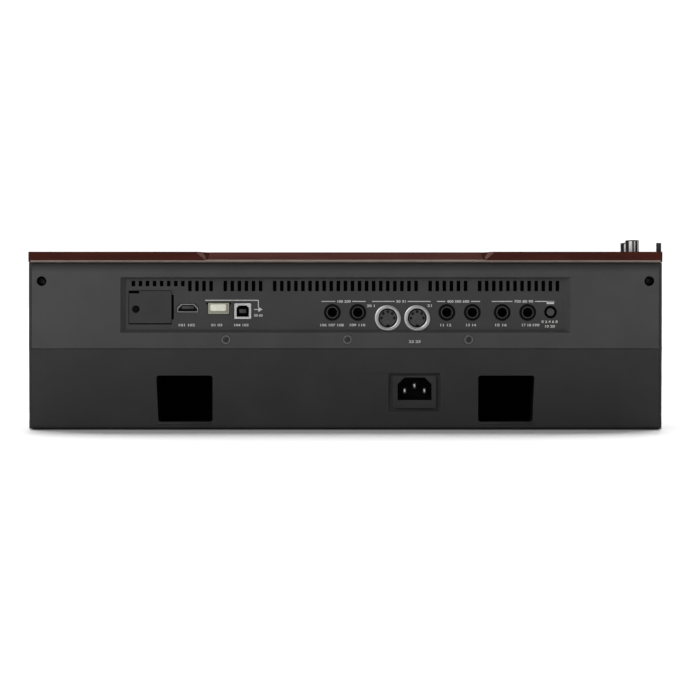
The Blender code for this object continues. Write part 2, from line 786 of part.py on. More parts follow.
def make_scoop_cutter():
    """The slanted scoop in the middle of the deck's rear edge."""
    low_z = REAR_HEIGHT - DECK_THICK
    inner_y = DECK_REAR_Y - SCOOP_DEPTH
    inner_z = deck_height(inner_y)
    rise = (inner_z - low_z) / SCOOP_DEPTH
    widen_up = (SCOOP_HALF_TOP - SCOOP_HALF_LOW) / DECK_THICK
    at_inner_height = SCOOP_HALF_LOW + widen_up * (inner_z - low_z)
    widen_back = (at_inner_height - SCOOP_HALF_INNER) / SCOOP_DEPTH

    def half_width(y, z):
        return SCOOP_HALF_LOW + widen_up * (z - low_z) + widen_back * (y - DECK_REAR_Y)

    behind = DECK_REAR_Y + CUT_OVERRUN
    above = REAR_HEIGHT + CUT_OVERRUN
    corners = [
        (behind, low_z - rise * CUT_OVERRUN),
        (behind, above),
        (DECK_REAR_Y - (above - low_z) / rise, above),
    ]
    shape = bmesh.new()
    left = [shape.verts.new((-half_width(y, z), y, z)) for y, z in corners]
    right = [shape.verts.new((half_width(y, z), y, z)) for y, z in corners]
    shape.faces.new(left)
    shape.faces.new(right)
    for index in range(len(corners)):
        following = (index + 1) % len(corners)
        shape.faces.new((left[index], left[following], right[following], right[index]))
    return mesh_object("scoop", shape)


def slab_cutter(name, outline, x, y):
    """A cutter with a local outline that goes right through the deck along its normal."""
    cutter = prism(name, outline, "Z", -slab_depth(y) - CUT_OVERRUN, CUT_OVERRUN)
    stand_on(cutter, deck_frame(x, y))
    return cutter


def deck_hole_cutters():
    """Holes for the display, the speakers' grilles, the knobs, the dial and the buttons."""
    opening = rectangle(
        around(0, DISPLAY_WIDTH - 2 * BEZEL_BODY_INSET + 2 * SEAT_GAP),
        around(0, DISPLAY_HEIGHT - 2 * BEZEL_BODY_INSET + 2 * SEAT_GAP),
    )
    cutters = [slab_cutter("display_hole", opening, 0, DISPLAY_Y)]
    for x in (-SPEAKER_X, SPEAKER_X):
        cutters += grille_cutters(x)
    for x, y in ribbed_knob_places():
        ring = circle((0, 0), SHAFT_RADIUS + SHAFT_CLEARANCE, SMALL_STEPS)
        cutters.append(slab_cutter("shaft_hole", ring, x, y))
    ring = circle((0, 0), DIAL_SHAFT_RADIUS + SHAFT_CLEARANCE, SMALL_STEPS)
    cutters.append(slab_cutter("dial_hole", ring, DIAL_X, DIAL_Y))
    for y in (START_BUTTON_Y, VARIATION_BUTTON_Y):
        width = BUTTON_WIDTH + 2 * CONTROL_GAP
        length = BUTTON_LENGTH + 2 * CONTROL_GAP
        radius = BUTTON_CORNER + CONTROL_GAP
        ring = rounded_rectangle(around(0, width), around(0, length), radius)
        cutters.append(slab_cutter("button_hole", ring, BUTTON_X, y))
    return cutters


def grille_cutters(x):
    """Slots whose ends follow a circle over one speaker."""
    cutters = []
    rows = int((GRILLE_RADIUS - GRILLE_SLOT / 2) / GRILLE_PITCH)
    for row in range(-rows, rows + 1):
        offset = row * GRILLE_PITCH
        reach = math.sqrt(GRILLE_RADIUS ** 2 - offset ** 2)
        slot = rectangle((-reach, reach), around(offset, GRILLE_SLOT))
        cutters.append(slab_cutter("grille_slot", slot, x, SPEAKER_Y))
    return cutters


def wheel_slot_cutters():
    """Round slots for the wheels."""
    cutters = []
    ring = circle((WHEEL_Y, wheel_centre_height()), WHEEL_RADIUS + WHEEL_GAP, ROUND_STEPS)
    for x in wheel_places():
        low, high = around(x, WHEEL_WIDTH + 2 * WHEEL_GAP)
        cutters.append(prism("wheel_slot", ring, "X", low, high))
    return cutters


def axle_hole_cutters():
    """Holes for the wheels' axles, right through the ears."""
    cutters = []
    ring = circle((WHEEL_Y, wheel_centre_height()), WHEEL_AXLE_RADIUS + SHAFT_CLEARANCE, SMALL_STEPS)
    for x in wheel_places():
        low, high = around(x, WHEEL_WIDTH + 2 * (WHEEL_GAP + WHEEL_EAR_WALL + SEAT_GAP))
        cutters.append(prism("axle_hole", ring, "X", low, high))
    return cutters


def toggle_centre():
    """Y and Z of the toggle's axis, inside the deck's thickness."""
    y = DECK_REAR_Y - TOGGLE_FROM_REAR
    return (y, deck_height(y) - TOGGLE_HUB_BELOW)


def toggle_x_range():
    """Low and high X of the toggle's lever."""
    outer = -HALF_WIDTH + TOGGLE_SIDE_GAP
    return (outer, outer + TOGGLE_WIDTH)


def make_toggle_notch():
    """A notch open to the side in which the toggle rocks."""
    y, z = toggle_centre()
    inner = toggle_x_range()[1] + TOGGLE_INNER_GAP
    return box(
        "toggle_notch",
        (-HALF_WIDTH - CUT_OVERRUN, inner),
        (y - TOGGLE_NOTCH_HALF, y + TOGGLE_NOTCH_HALF),
        (z - DECK_THICK, REAR_HEIGHT + CUT_OVERRUN),
    )


def make_toggle_bore():
    """The blind bore for the toggle's stub axle."""
    inner = toggle_x_range()[1]
    ring = circle(toggle_centre(), TOGGLE_STUB_RADIUS + SEAT_GAP, PIN_STEPS)
    return prism("toggle_bore", ring, "X", inner, inner + TOGGLE_STUB_LENGTH + TOGGLE_INNER_GAP)


def ribbed_knob_places():
    """X and Y of the two ribbed knobs, the rear one first."""
    places = []
    y = DECK_REAR_Y - RIBBED_KNOB_FROM_REAR
    for from_side in RIBBED_KNOBS_FROM_SIDE:
        places.append((from_side - HALF_WIDTH, y))
        y -= RIBBED_KNOB_SPACING
    return places


def make_rear_panel(materials):
    """The upper rear panel with its recessed connector field."""
    panel_inner = REAR_Y - PANEL_WALL
    panel_top = deck_height(panel_inner) - DECK_THICK - SEAT_GAP
    panel_low = SPLIT_HEIGHT + SEAT_GAP
    half = REAR_HALF_WIDTH
    panel = box("rear_panel", (-half, half), (panel_inner, REAR_Y), (panel_low, panel_top), materials["panel"])
    field_back = FIELD_Y - FIELD_WALL
    block_half = FIELD_HALF_WIDTH + FIELD_MARGIN
    block_low = FIELD_BOTTOM - FIELD_MARGIN
    block = box(
        "field_block",
        (-block_half, block_half),
        (field_back, panel_inner + CUT_OVERRUN),
        (block_low, panel_top - CUT_OVERRUN),
    )
    add(panel, [block] + screw_bosses())
    cut(panel, [make_field_cutter(), make_cover_cutter(), merged("vents", vent_cutters())])
    cut(panel, [merged("socket_holes", socket_hole_cutters()), merged("screws", screw_cutters())])
    return panel


def screw_bosses():
    """Blocks behind the deep screw holes."""
    bosses = []
    back = REAR_Y - DEEP_SCREW_DEPTH - SCREW_BOSS_FLOOR
    for x in (-DEEP_SCREW_X, DEEP_SCREW_X):
        boss = box(
            "screw_boss",
            (x - SCREW_BOSS_HALF, x + SCREW_BOSS_HALF),
            (back, REAR_Y - PANEL_WALL + CUT_OVERRUN),
            (DEEP_SCREW_Z - SCREW_BOSS_HALF, DEEP_SCREW_Z + SCREW_BOSS_HALF),
        )
        bosses.append(boss)
    return bosses


def make_field_cutter():
    """The recess of the connector field, with bevelled sides that widen towards the rear."""
    shape = bmesh.new()
    rings = []
    reach = (FIELD_DEPTH + CUT_OVERRUN) / FIELD_DEPTH
    for y, widen in ((FIELD_Y, 0), (REAR_Y + CUT_OVERRUN, reach)):
        half = FIELD_HALF_WIDTH + FIELD_BEVEL * widen
        low = FIELD_BOTTOM - FIELD_LOW_BEVEL * widen
        high = FIELD_TOP + FIELD_TOP_BEVEL * widen
        corners = rectangle((-half, half), (low, high))
        rings.append([shape.verts.new((x, y, z)) for x, z in corners])
    for index in range(len(rings[0])):
        following = (index + 1) % len(rings[0])
        shape.faces.new((rings[0][index], rings[0][following], rings[1][following], rings[1][index]))
    shape.faces.new(rings[0])
    shape.faces.new(rings[1])
    return mesh_object("field", shape)


def field_hole(name, outline):
    """A cutter along Y with an (X, Z) outline through the floor of the connector field."""
    back = FIELD_Y - FIELD_WALL - CUT_OVERRUN
    return prism(name, outline, "Y", back, FIELD_Y + CUT_OVERRUN)


def vent_cutters():
    """The vent slots, in groups parted by wider bars, the first ones short over the cover."""
    cutters = []
    for place in range(VENT_PLACES):
        if place in VENT_BARS:
            continue
        height = VENT_SHORT_HEIGHT if place < VENT_SHORT_COUNT else VENT_HEIGHT
        x = VENT_FIRST_X - place * VENT_PITCH
        slot = rectangle(around(x, VENT_WIDTH), (VENT_TOP - height, VENT_TOP))
        cutters.append(field_hole("vent", slot))
    return cutters


def trapezoid(centre, width, height, chamfer):
    """A rectangle about a centre whose two upper corners are cut off."""
    x, z = centre
    half = width / 2
    top = z + height / 2
    low = z - height / 2
    return [
        (x - half, low),
        (x + half, low),
        (x + half, top - chamfer),
        (x + half - chamfer, top),
        (x - half + chamfer, top),
        (x - half, top - chamfer),
    ]


def jack_places():
    """X of the six jack sockets from the player's right to the left."""
    places = []
    for centre in JACK_PAIRS_X:
        places += [centre + JACK_PITCH / 2, centre - JACK_PITCH / 2]
    return places


def socket_hole_cutters():
    """Holes of the connector field for the sockets and the gain knob."""
    grow = 2 * SOCKET_GAP
    cutters = [
        field_hole(
            "hdmi", trapezoid((HDMI_X, HDMI_Z), HDMI_WIDTH + grow, HDMI_HEIGHT + grow, HDMI_CHAMFER)
        ),
        field_hole(
            "host",
            rounded_rectangle(
                around(HOST_X, HOST_WIDTH + grow),
                around(HOST_Z, HOST_HEIGHT + grow),
                SOCKET_CORNER + SOCKET_GAP,
            ),
        ),
        field_hole(
            "device",
            rounded_rectangle(
                around(DEVICE_X, DEVICE_WIDTH + grow),
                around(DEVICE_Z, DEVICE_HEIGHT + grow),
                SOCKET_CORNER + SOCKET_GAP,
            ),
        ),
        field_hole("gain", circle((GAIN_X, GAIN_Z), GAIN_HOLE_RADIUS, SMALL_STEPS)),
    ]
    for x in jack_places():
        ring = circle((x, JACK_Z), JACK_NOSE_RADIUS + SOCKET_GAP, SMALL_STEPS)
        cutters.append(field_hole("jack", ring))
    back = FIELD_Y - FIELD_WALL - CUT_OVERRUN
    for x in MIDI_X:
        ring = circle((x, MIDI_Z), MIDI_RADIUS + SOCKET_GAP, ROUND_STEPS)
        cutters.append(prism("midi", ring, "Y", back, REAR_Y + CUT_OVERRUN))
    return cutters


def make_cover_cutter():
    """The stepped hole behind the service cover: pocket, hatch with its finger notch, latch slit."""
    pocket = rectangle(
        around(COVER_X, COVER_WIDTH + 2 * COVER_GAP), around(COVER_Z, COVER_HEIGHT + 2 * COVER_GAP)
    )
    left, right = around(COVER_X, COVER_WIDTH - 2 * COVER_LEDGE)
    low, high = around(COVER_Z, COVER_HEIGHT - 2 * COVER_LEDGE)
    cover_left, cover_right = around(COVER_X, COVER_WIDTH)
    cover_top = COVER_Z + COVER_HEIGHT / 2
    hatch = [
        (left, low),
        (right, low),
        (right, cover_top - COVER_NOTCH_HEIGHT),
        (cover_right, cover_top - COVER_NOTCH_HEIGHT),
        (cover_right, cover_top),
        (cover_right - COVER_NOTCH_WIDTH, cover_top),
        (cover_right - COVER_NOTCH_WIDTH, high),
        (left, high),
    ]
    slit = rectangle(
        (cover_left - LATCH_SLIT_OUT, cover_left + LATCH_SLIT_IN), around(COVER_Z, LATCH_SLIT_HEIGHT)
    )
    seat_y = FIELD_Y - COVER_THICK - SEAT_GAP
    cutter = prism("cover_pocket", pocket, "Y", seat_y, FIELD_Y + CUT_OVERRUN)
    hatch_back = FIELD_Y - FIELD_WALL - CUT_OVERRUN
    add(cutter, [prism("hatch", hatch, "Y", hatch_back, seat_y + SEAT_GAP)])
    add(cutter, [prism("latch_slit", slit, "Y", hatch_back, FIELD_Y + 2 * CUT_OVERRUN)])
    return cutter


def screw_cutters():
    """Blind seats for the screws of the upper rear panel."""
    cutters = []
    for x in (-DEEP_SCREW_X, DEEP_SCREW_X):
        ring = circle((x, DEEP_SCREW_Z), DEEP_SCREW_RADIUS, SMALL_STEPS)
        cutters.append(prism("deep_screw", ring, "Y", REAR_Y - DEEP_SCREW_DEPTH, REAR_Y + CUT_OVERRUN))
    for x in BRIGHT_SCREW_X:
        ring = circle((x, BRIGHT_SCREW_Z), BRIGHT_SCREW_RADIUS, SMALL_STEPS)
        cutters.append(prism("bright_screw", ring, "Y", REAR_Y - BRIGHT_SCREW_DEPTH, REAR_Y + CUT_OVERRUN))
    return cutters


def port_outline(side, grow):
    """The opening of one rear port, seen from behind, with its outer side leaning in below."""
    inner_top = PORT_INNER_X - grow
    outer_top = PORT_OUTER_X + grow
    z_range = (PORT_BOTTOM - grow, PORT_TOP + grow)
    outline = rounded_rectangle((inner_top, outer_top), z_range, PORT_CORNER + grow)
    middle = (inner_top + outer_top) / 2
    height = PORT_TOP - PORT_BOTTOM
    leaning = []
    for x, z in outline:
        lean = PORT_OUTER_SLANT * (PORT_TOP - z) / height if x > middle else 0
        leaning.append((side * (x - lean), z))
    return leaning


def make_lower_rear_panel(materials):
    """The lower rear panel, which leans in towards the floor."""
    top = SPLIT_HEIGHT - SEAT_GAP + PANEL_FLOOR_GAP
    low = FLOOR_BOTTOM + PANEL_FLOOR_GAP
    outline = rear_low_edge(low) + [(LOWER_TOP_Y, top), (LOWER_INNER_Y, top), (LOWER_INNER_Y, low)]
    half = REAR_HALF_WIDTH
    panel = prism("lower_rear_panel", outline, "X", -half, half, materials["case"])
    behind = REAR_Y + CUT_OVERRUN
    through = LOWER_INNER_Y - CUT_OVERRUN
    recess_z = INLET_Z - INLET_RECESS_DROP
    recess = rounded_rectangle(
        around(INLET_X, INLET_RECESS_WIDTH), around(recess_z, INLET_RECESS_HEIGHT), INLET_CORNER
    )
    body = rectangle(
        around(INLET_X, INLET_BODY_WIDTH + 2 * SOCKET_GAP),
        around(INLET_Z + INLET_BODY_RISE, INLET_BODY_HEIGHT + 2 * SOCKET_GAP),
    )
    cutters = [
        prism("inlet_recess", recess, "Y", inlet_seat_y(), behind),
        prism("inlet_hole", body, "Y", through, behind),
        prism("port_right", port_outline(1, 0), "Y", through, behind),
        prism("port_left", port_outline(-1, 0), "Y", through, behind),
    ]
    cut(panel, cutters)
    return panel


def inlet_seat_y():
    """Y of the flat seat of the inlet's flange."""
    return LOWER_TOP_Y - INLET_RECESS_DEPTH


def make_rear_ports(materials):
    """Two open ducts behind the openings of the lower rear panel."""
    front = LOWER_INNER_Y - SEAT_GAP
    back = LOWER_TOP_Y - PORT_DEPTH
    ports = []
    for name, side in (("port_left", -1), ("port_right", 1)):
        outline = port_outline(side, PORT_WALL)
        port = prism(name, outline, "Y", back, front, materials["black"])
        bore = prism("bore", port_outline(side, 0), "Y", back - CUT_OVERRUN, front + CUT_OVERRUN)
        cut(port, [bore])
        ports.append(port)
    return ports


def make_service_cover(materials):
    """The small cover of the connector field, with a finger notch and a screw seat."""
    seat_y = FIELD_Y - COVER_THICK
    left, right = around(COVER_X, COVER_WIDTH)
    low, high = around(COVER_Z, COVER_HEIGHT)
    outline = [
        (left, low),
        (right, low),
        (right, high - COVER_NOTCH_HEIGHT),
        (right - COVER_NOTCH_WIDTH, high - COVER_NOTCH_HEIGHT),
        (right - COVER_NOTCH_WIDTH, high),
        (left, high),
    ]
    cover = prism("service_cover", outline, "Y", seat_y, FIELD_Y, materials["panel"])
    centre = (right - COVER_SCREW_IN, COVER_Z - COVER_SCREW_DOWN)
    ring = circle(centre, COVER_SCREW_RADIUS, SMALL_STEPS)
    cut(cover, [prism("seat", ring, "Y", FIELD_Y - COVER_SCREW_DEPTH, FIELD_Y + CUT_OVERRUN)])
    return cover


def make_hdmi_socket(materials):
    """A video socket: a shell with two cut corners round a thin tongue."""
    centre = (HDMI_X, HDMI_Z)
    outline = trapezoid(centre, HDMI_WIDTH, HDMI_HEIGHT, HDMI_CHAMFER)
    socket = prism("hdmi_socket", outline, "Y", SOCKET_BACK_Y, SOCKET_FACE_Y, materials["steel"])
    wall = 2 * HDMI_SHELL
    cavity = trapezoid(centre, HDMI_WIDTH - wall, HDMI_HEIGHT - wall, HDMI_CHAMFER)
    floor_y = SOCKET_FACE_Y - HDMI_CAVITY
    cutter = prism("cavity", cavity, "Y", floor_y, SOCKET_FACE_Y + CUT_OVERRUN)
    cut(socket, [cutter])
    tongue = box(
        "tongue",
        around(HDMI_X, HDMI_TONGUE_WIDTH),
        (floor_y - CUT_OVERRUN, SOCKET_FACE_Y - TONGUE_SETBACK),
        around(HDMI_Z + HDMI_TONGUE_RISE, HDMI_TONGUE_HEIGHT),
    )
    add(socket, [tongue])
    return socket


def make_host_socket(materials):
    """A wide USB socket with its tongue."""
    outer = rounded_rectangle(around(HOST_X, HOST_WIDTH), around(HOST_Z, HOST_HEIGHT), SOCKET_CORNER)
    socket = prism("usb_host_socket", outer, "Y", SOCKET_BACK_Y, SOCKET_FACE_Y, materials["steel"])
    inner_width = HOST_WIDTH - 2 * HOST_SHELL
    inner_height = HOST_HEIGHT - 2 * HOST_SHELL
    floor_y = SOCKET_FACE_Y - HOST_CAVITY
    cavity = rectangle(around(HOST_X, inner_width), around(HOST_Z, inner_height))
    cut(socket, [prism("cavity", cavity, "Y", floor_y, SOCKET_FACE_Y + CUT_OVERRUN)])
    tongue = box(
        "tongue",
        around(HOST_X, inner_width - 2 * HOST_TONGUE_SIDE),
        (floor_y - CUT_OVERRUN, SOCKET_FACE_Y - TONGUE_SETBACK),
        around(HOST_Z + HOST_TONGUE_RISE, HOST_TONGUE_HEIGHT),
    )
    add(socket, [tongue])
    return socket


def make_device_socket(materials):
    """A square USB socket with two cut corners and its tongue."""
    outer = rounded_rectangle(around(DEVICE_X, DEVICE_WIDTH), around(DEVICE_Z, DEVICE_HEIGHT), SOCKET_CORNER)
    socket = prism("usb_device_socket", outer, "Y", SOCKET_BACK_Y, SOCKET_FACE_Y, materials["steel"])
    inner_width = DEVICE_WIDTH - 2 * DEVICE_SHELL
    inner_height = DEVICE_HEIGHT - 2 * DEVICE_SHELL
    cavity = trapezoid((DEVICE_X, DEVICE_Z), inner_width, inner_height, DEVICE_CHAMFER)
    floor_y = SOCKET_FACE_Y - DEVICE_CAVITY
    cut(socket, [prism("cavity", cavity, "Y", floor_y, SOCKET_FACE_Y + CUT_OVERRUN)])
    tongue = box(
        "tongue",
        around(DEVICE_X, DEVICE_TONGUE_WIDTH),
        (floor_y - CUT_OVERRUN, SOCKET_FACE_Y - TONGUE_SETBACK),
        around(DEVICE_Z, DEVICE_TONGUE_HEIGHT),
    )
    add(socket, [tongue])
    return socket


def make_jack_sockets(materials):
    """Six jack sockets: a square body behind the field, a round nose through it and a blind bore."""
    body_front = FIELD_Y - FIELD_WALL - SEAT_GAP
    sockets = []
    for number, x in enumerate(jack_places(), start=1):
        socket = box(
            f"jack_socket_{number}",
            around(x, JACK_BODY_WIDTH),
            (SOCKET_BACK_Y, body_front),
            around(JACK_Z, JACK_BODY_HEIGHT),
            materials["black"],
        )
        centre = (x, JACK_Z)
        nose = circle(centre, JACK_NOSE_RADIUS, SMALL_STEPS)
        bore = circle(centre, JACK_BORE_RADIUS, SMALL_STEPS)
        bore_end = SOCKET_FACE_Y - JACK_BORE_DEPTH
        add(socket, [prism("nose", nose, "Y", body_front - CUT_OVERRUN, SOCKET_FACE_Y)])
        cut(socket, [prism("bore", bore, "Y", bore_end, SOCKET_FACE_Y + CUT_OVERRUN)])
        smooth(socket)
        sockets.append(socket)
    return sockets


def make_midi_sockets(materials):
    """Two five-pin sockets: a ring round an insert with its pin holes in an arc."""
    body_front = FIELD_Y - FIELD_WALL - SEAT_GAP
    insert_y = SOCKET_FACE_Y - MIDI_INSERT_SETBACK
    sockets = []
    for number, x in enumerate(MIDI_X, start=1):
        centre = (x, MIDI_Z)
        nose = circle(centre, MIDI_RADIUS, ROUND_STEPS)
        opening = circle(centre, MIDI_OPENING_RADIUS, ROUND_STEPS)
        socket = box(
            f"midi_socket_{number}",
            around(x, MIDI_BODY_WIDTH),
            (SOCKET_BACK_Y, body_front),
            around(MIDI_Z, MIDI_BODY_HEIGHT),
            materials["steel"],
        )
        add(socket, [prism("nose", nose, "Y", body_front - CUT_OVERRUN, SOCKET_FACE_Y)])
        cutters = [prism("opening", opening, "Y", insert_y, SOCKET_FACE_Y + CUT_OVERRUN)]
        pins = []
        for pin in range(MIDI_PIN_COUNT):
            angle = math.pi * pin / (MIDI_PIN_COUNT - 1)
            pin_x = x + MIDI_PIN_CIRCLE * math.cos(angle)
            pin_z = MIDI_Z + MIDI_PIN_CIRCLE * math.sin(angle)
            ring = circle((pin_x, pin_z), MIDI_PIN_RADIUS, PIN_STEPS)
            pins.append(prism("pin", ring, "Y", insert_y - MIDI_PIN_DEPTH, insert_y + CUT_OVERRUN))
        cutters.append(merged("pins", pins))
        cut(socket, cutters)
        smooth(socket)
        sockets.append(socket)
    return sockets


def make_gain_knob(materials):
    """A small recessed knob on the board, with a slot across its face."""
    face_y = FIELD_Y - GAIN_KNOB_SETBACK
    ring = circle((GAIN_X, GAIN_Z), GAIN_KNOB_RADIUS, SMALL_STEPS)
    knob = prism("gain_knob", ring, "Y", SOCKET_BACK_Y, face_y, materials["frame"])
    slot = box(
        "slot",
        around(GAIN_X, GAIN_SLOT_WIDTH),
        (face_y - GAIN_SLOT_DEPTH, face_y + CUT_OVERRUN),
        (GAIN_Z, GAIN_Z + 2 * GAIN_KNOB_RADIUS),
    )
    cut(knob, [slot])
    move_origin(knob, (GAIN_X, SOCKET_BACK_Y, GAIN_Z))
    smooth(knob)
    return knob


def make_ac_inlet(materials):
    """The mains inlet: flange, body, cavity with two cut corners and three pins."""
    seat = inlet_seat_y() + SEAT_GAP
    face = seat + INLET_FLANGE_THICK
    back = seat - INLET_BODY_DEPTH
    flange = rounded_rectangle(
        around(INLET_X, INLET_FLANGE_WIDTH), around(INLET_Z, INLET_FLANGE_HEIGHT), INLET_CORNER
    )
    inlet = prism("ac_inlet", flange, "Y", seat, face, materials["black"])
    body_z = INLET_Z + INLET_BODY_RISE
    body = rectangle(around(INLET_X, INLET_BODY_WIDTH), around(body_z, INLET_BODY_HEIGHT))
    add(inlet, [prism("body", body, "Y", back, seat + CUT_OVERRUN)])
    cavity_z = INLET_Z + INLET_CAVITY_RISE
    cavity = trapezoid((INLET_X, cavity_z), INLET_CAVITY_WIDTH, INLET_CAVITY_HEIGHT, INLET_CAVITY_CHAMFER)
    floor_y = face - INLET_CAVITY_DEPTH
    cut(inlet, [prism("cavity", cavity, "Y", floor_y, face + CUT_OVERRUN)])
    pin_z = cavity_z - INLET_PIN_DROP
    places = [
        (INLET_X - INLET_PIN_SPACING / 2, pin_z),
        (INLET_X + INLET_PIN_SPACING / 2, pin_z),
        (INLET_X, pin_z + INLET_EARTH_RISE),
    ]
    pins = []
    for x, z in places:
        pin = box(
            "pin",
            around(x, INLET_PIN_WIDTH),
            (floor_y - CUT_OVERRUN, face - INLET_PIN_SETBACK),
            around(z, INLET_PIN_HEIGHT),
        )
        pins.append(pin)
    add(inlet, pins)
    return inlet


def make_boards(materials):
    """The upright board that carries the sockets, and the power supply on the floor."""
    board = box(
        "main_board",
        (BOARD_RIGHT_X, BOARD_LEFT_X),
        (BOARD_FRONT_Y - BOARD_THICK, BOARD_FRONT_Y),
        (BOARD_BOTTOM, BOARD_TOP),
        materials["board"],
    )
    supply_rear = inlet_seat_y() - INLET_BODY_DEPTH - SUPPLY_BEHIND_INLET
    floor = FLOOR_TOP + SEAT_GAP
    supply = box(
        "power_supply",
        around(INLET_X, SUPPLY_WIDTH),
        (supply_rear - SUPPLY_DEPTH, supply_rear),
        (floor, floor + SUPPLY_HEIGHT),
        materials["frame"],
    )
    return [board, supply]


def make_display(materials):
    """The bezel that sits in the deck and the glass that sits in the bezel."""
    frame = deck_frame(0, DISPLAY_Y)
    outer = rounded_rectangle(around(0, DISPLAY_WIDTH), around(0, DISPLAY_HEIGHT), BEZEL_BORDER / 2)
    bezel = prism("display_bezel", outer, "Z", SEAT_GAP, SEAT_GAP + DISPLAY_RIM, materials["black"])
    body_width = DISPLAY_WIDTH - 2 * BEZEL_BODY_INSET
    body_height = DISPLAY_HEIGHT - 2 * BEZEL_BODY_INSET
    body_low = -slab_depth(DISPLAY_Y) - BEZEL_SEAT_DEPTH
    body = rectangle(around(0, body_width), around(0, body_height))
    add(bezel, [prism("body", body, "Z", body_low, SEAT_GAP + DISPLAY_RIM / 2)])
    top = SEAT_GAP + DISPLAY_RIM
    glass_top = top - GLASS_RECESS
    glass_low = glass_top - GLASS_THICK
    pocket_width = DISPLAY_WIDTH - 2 * BEZEL_BORDER
    pocket_height = DISPLAY_HEIGHT - 2 * BEZEL_BORDER
    pocket = rectangle(around(0, pocket_width), around(0, pocket_height))
    window = rectangle(
        around(0, pocket_width - 2 * BEZEL_WINDOW_INSET), around(0, pocket_height - 2 * BEZEL_WINDOW_INSET)
    )
    cutters = [
        prism("pocket", pocket, "Z", glass_low - SEAT_GAP, top + CUT_OVERRUN),
        prism("window", window, "Z", body_low - CUT_OVERRUN, top),
    ]
    cut(bezel, cutters)
    stand_on(bezel, frame)
    pane = rectangle(around(0, pocket_width - 2 * GLASS_GAP), around(0, pocket_height - 2 * GLASS_GAP))
    glass = prism("display_glass", pane, "Z", glass_low, glass_top, materials["glass"])
    stand_on(glass, frame)
    return [bezel, glass]


def make_speakers(materials):
    """Two round drivers that hang under the deck's grilles."""
    top = -slab_depth(SPEAKER_Y) - SEAT_GAP
    magnet_top = top - SPEAKER_DEPTH + SPEAKER_MAGNET_DEPTH
    profile = [
        (0, top - SPEAKER_CONE_DEPTH + SPEAKER_RIM),
        (SPEAKER_CAP_RADIUS, top - SPEAKER_CONE_DEPTH),
        (SPEAKER_CONE_RADIUS, top - SPEAKER_RIM / 2),
        (SPEAKER_CONE_RADIUS + SPEAKER_RIM / 2, top),
        (SPEAKER_RADIUS, top),
        (SPEAKER_RADIUS, top - SPEAKER_RIM),
        (SPEAKER_RADIUS - SPEAKER_RIM, top - SPEAKER_RIM),
        (SPEAKER_MAGNET_RADIUS, magnet_top),
        (SPEAKER_MAGNET_RADIUS, top - SPEAKER_DEPTH),
        (0, top - SPEAKER_DEPTH),
    ]
    speakers = []
    for name, x in (("speaker_left", -SPEAKER_X), ("speaker_right", SPEAKER_X)):
        speaker = turned(name, profile, ROUND_STEPS, materials["black"])
        stand_on(speaker, deck_frame(x, SPEAKER_Y))
        smooth(speaker)
        speakers.append(speaker)
    return speakers


def make_ribbed_knobs(materials):
    """Two equal turning knobs on the rear stretch of the deck."""
    knobs = []
    for name, (x, y) in zip(("volume_knob", "tone_knob"), ribbed_knob_places()):
        top = CONTROL_GAP + RIBBED_KNOB_HEIGHT
        profile = [
            (0, -slab_depth(y) - SHAFT_BELOW),
            (SHAFT_RADIUS, -slab_depth(y) - SHAFT_BELOW),
            (SHAFT_RADIUS, CONTROL_GAP),
            (RIBBED_KNOB_RADIUS, CONTROL_GAP),
            (RIBBED_KNOB_RADIUS, top),
            (0, top),
        ]
        knob = turned(name, profile, SMALL_STEPS, materials["black"])
        stand_on(knob, deck_frame(x, y))
        smooth(knob)
        knobs.append(knob)
    return knobs


def make_data_dial(materials):
    """The large dial with a dimple for a finger."""
    top = CONTROL_GAP + DIAL_HEIGHT
    shaft_low = -slab_depth(DIAL_Y) - SHAFT_BELOW
    profile = [
        (0, shaft_low),
        (DIAL_SHAFT_RADIUS, shaft_low),
        (DIAL_SHAFT_RADIUS, CONTROL_GAP),
        (DIAL_RADIUS, CONTROL_GAP),
        (DIAL_RADIUS, top),
        (0, top),
    ]
    dial = turned("data_dial", profile, ROUND_STEPS, materials["black"])
    dimple = circle((0, DIAL_DIMPLE_OUT), DIAL_DIMPLE_RADIUS, SMALL_STEPS)
    cut(dial, [prism("dimple", dimple, "Z", top - DIAL_DIMPLE_DEPTH, top + CUT_OVERRUN)])
    stand_on(dial, deck_frame(DIAL_X, DIAL_Y))
    smooth(dial)
    return dial


def make_buttons(materials):
    """Two push buttons, each kept under the deck by its flange."""
    buttons = []
    for name, y in (("start_stop_button", START_BUTTON_Y), ("variation_button", VARIATION_BUTTON_Y)):
        flange_top = -slab_depth(y) - SEAT_GAP
        flange_low = flange_top - BUTTON_FLANGE_THICK
        cap = rounded_rectangle(around(0, BUTTON_WIDTH), around(0, BUTTON_LENGTH), BUTTON_CORNER)
        root = flange_low + BUTTON_FLANGE_THICK / 2
        button = prism(name, cap, "Z", root, BUTTON_PROUD + BUTTON_TRAVEL, materials["frame"])
        flange = rectangle(
            around(0, BUTTON_WIDTH + 2 * BUTTON_FLANGE), around(0, BUTTON_LENGTH + 2 * BUTTON_FLANGE)
        )
        add(button, [prism("flange", flange, "Z", flange_low, flange_top)])
        stand_on(button, deck_frame(BUTTON_X, y))
        buttons.append(button)
    return buttons


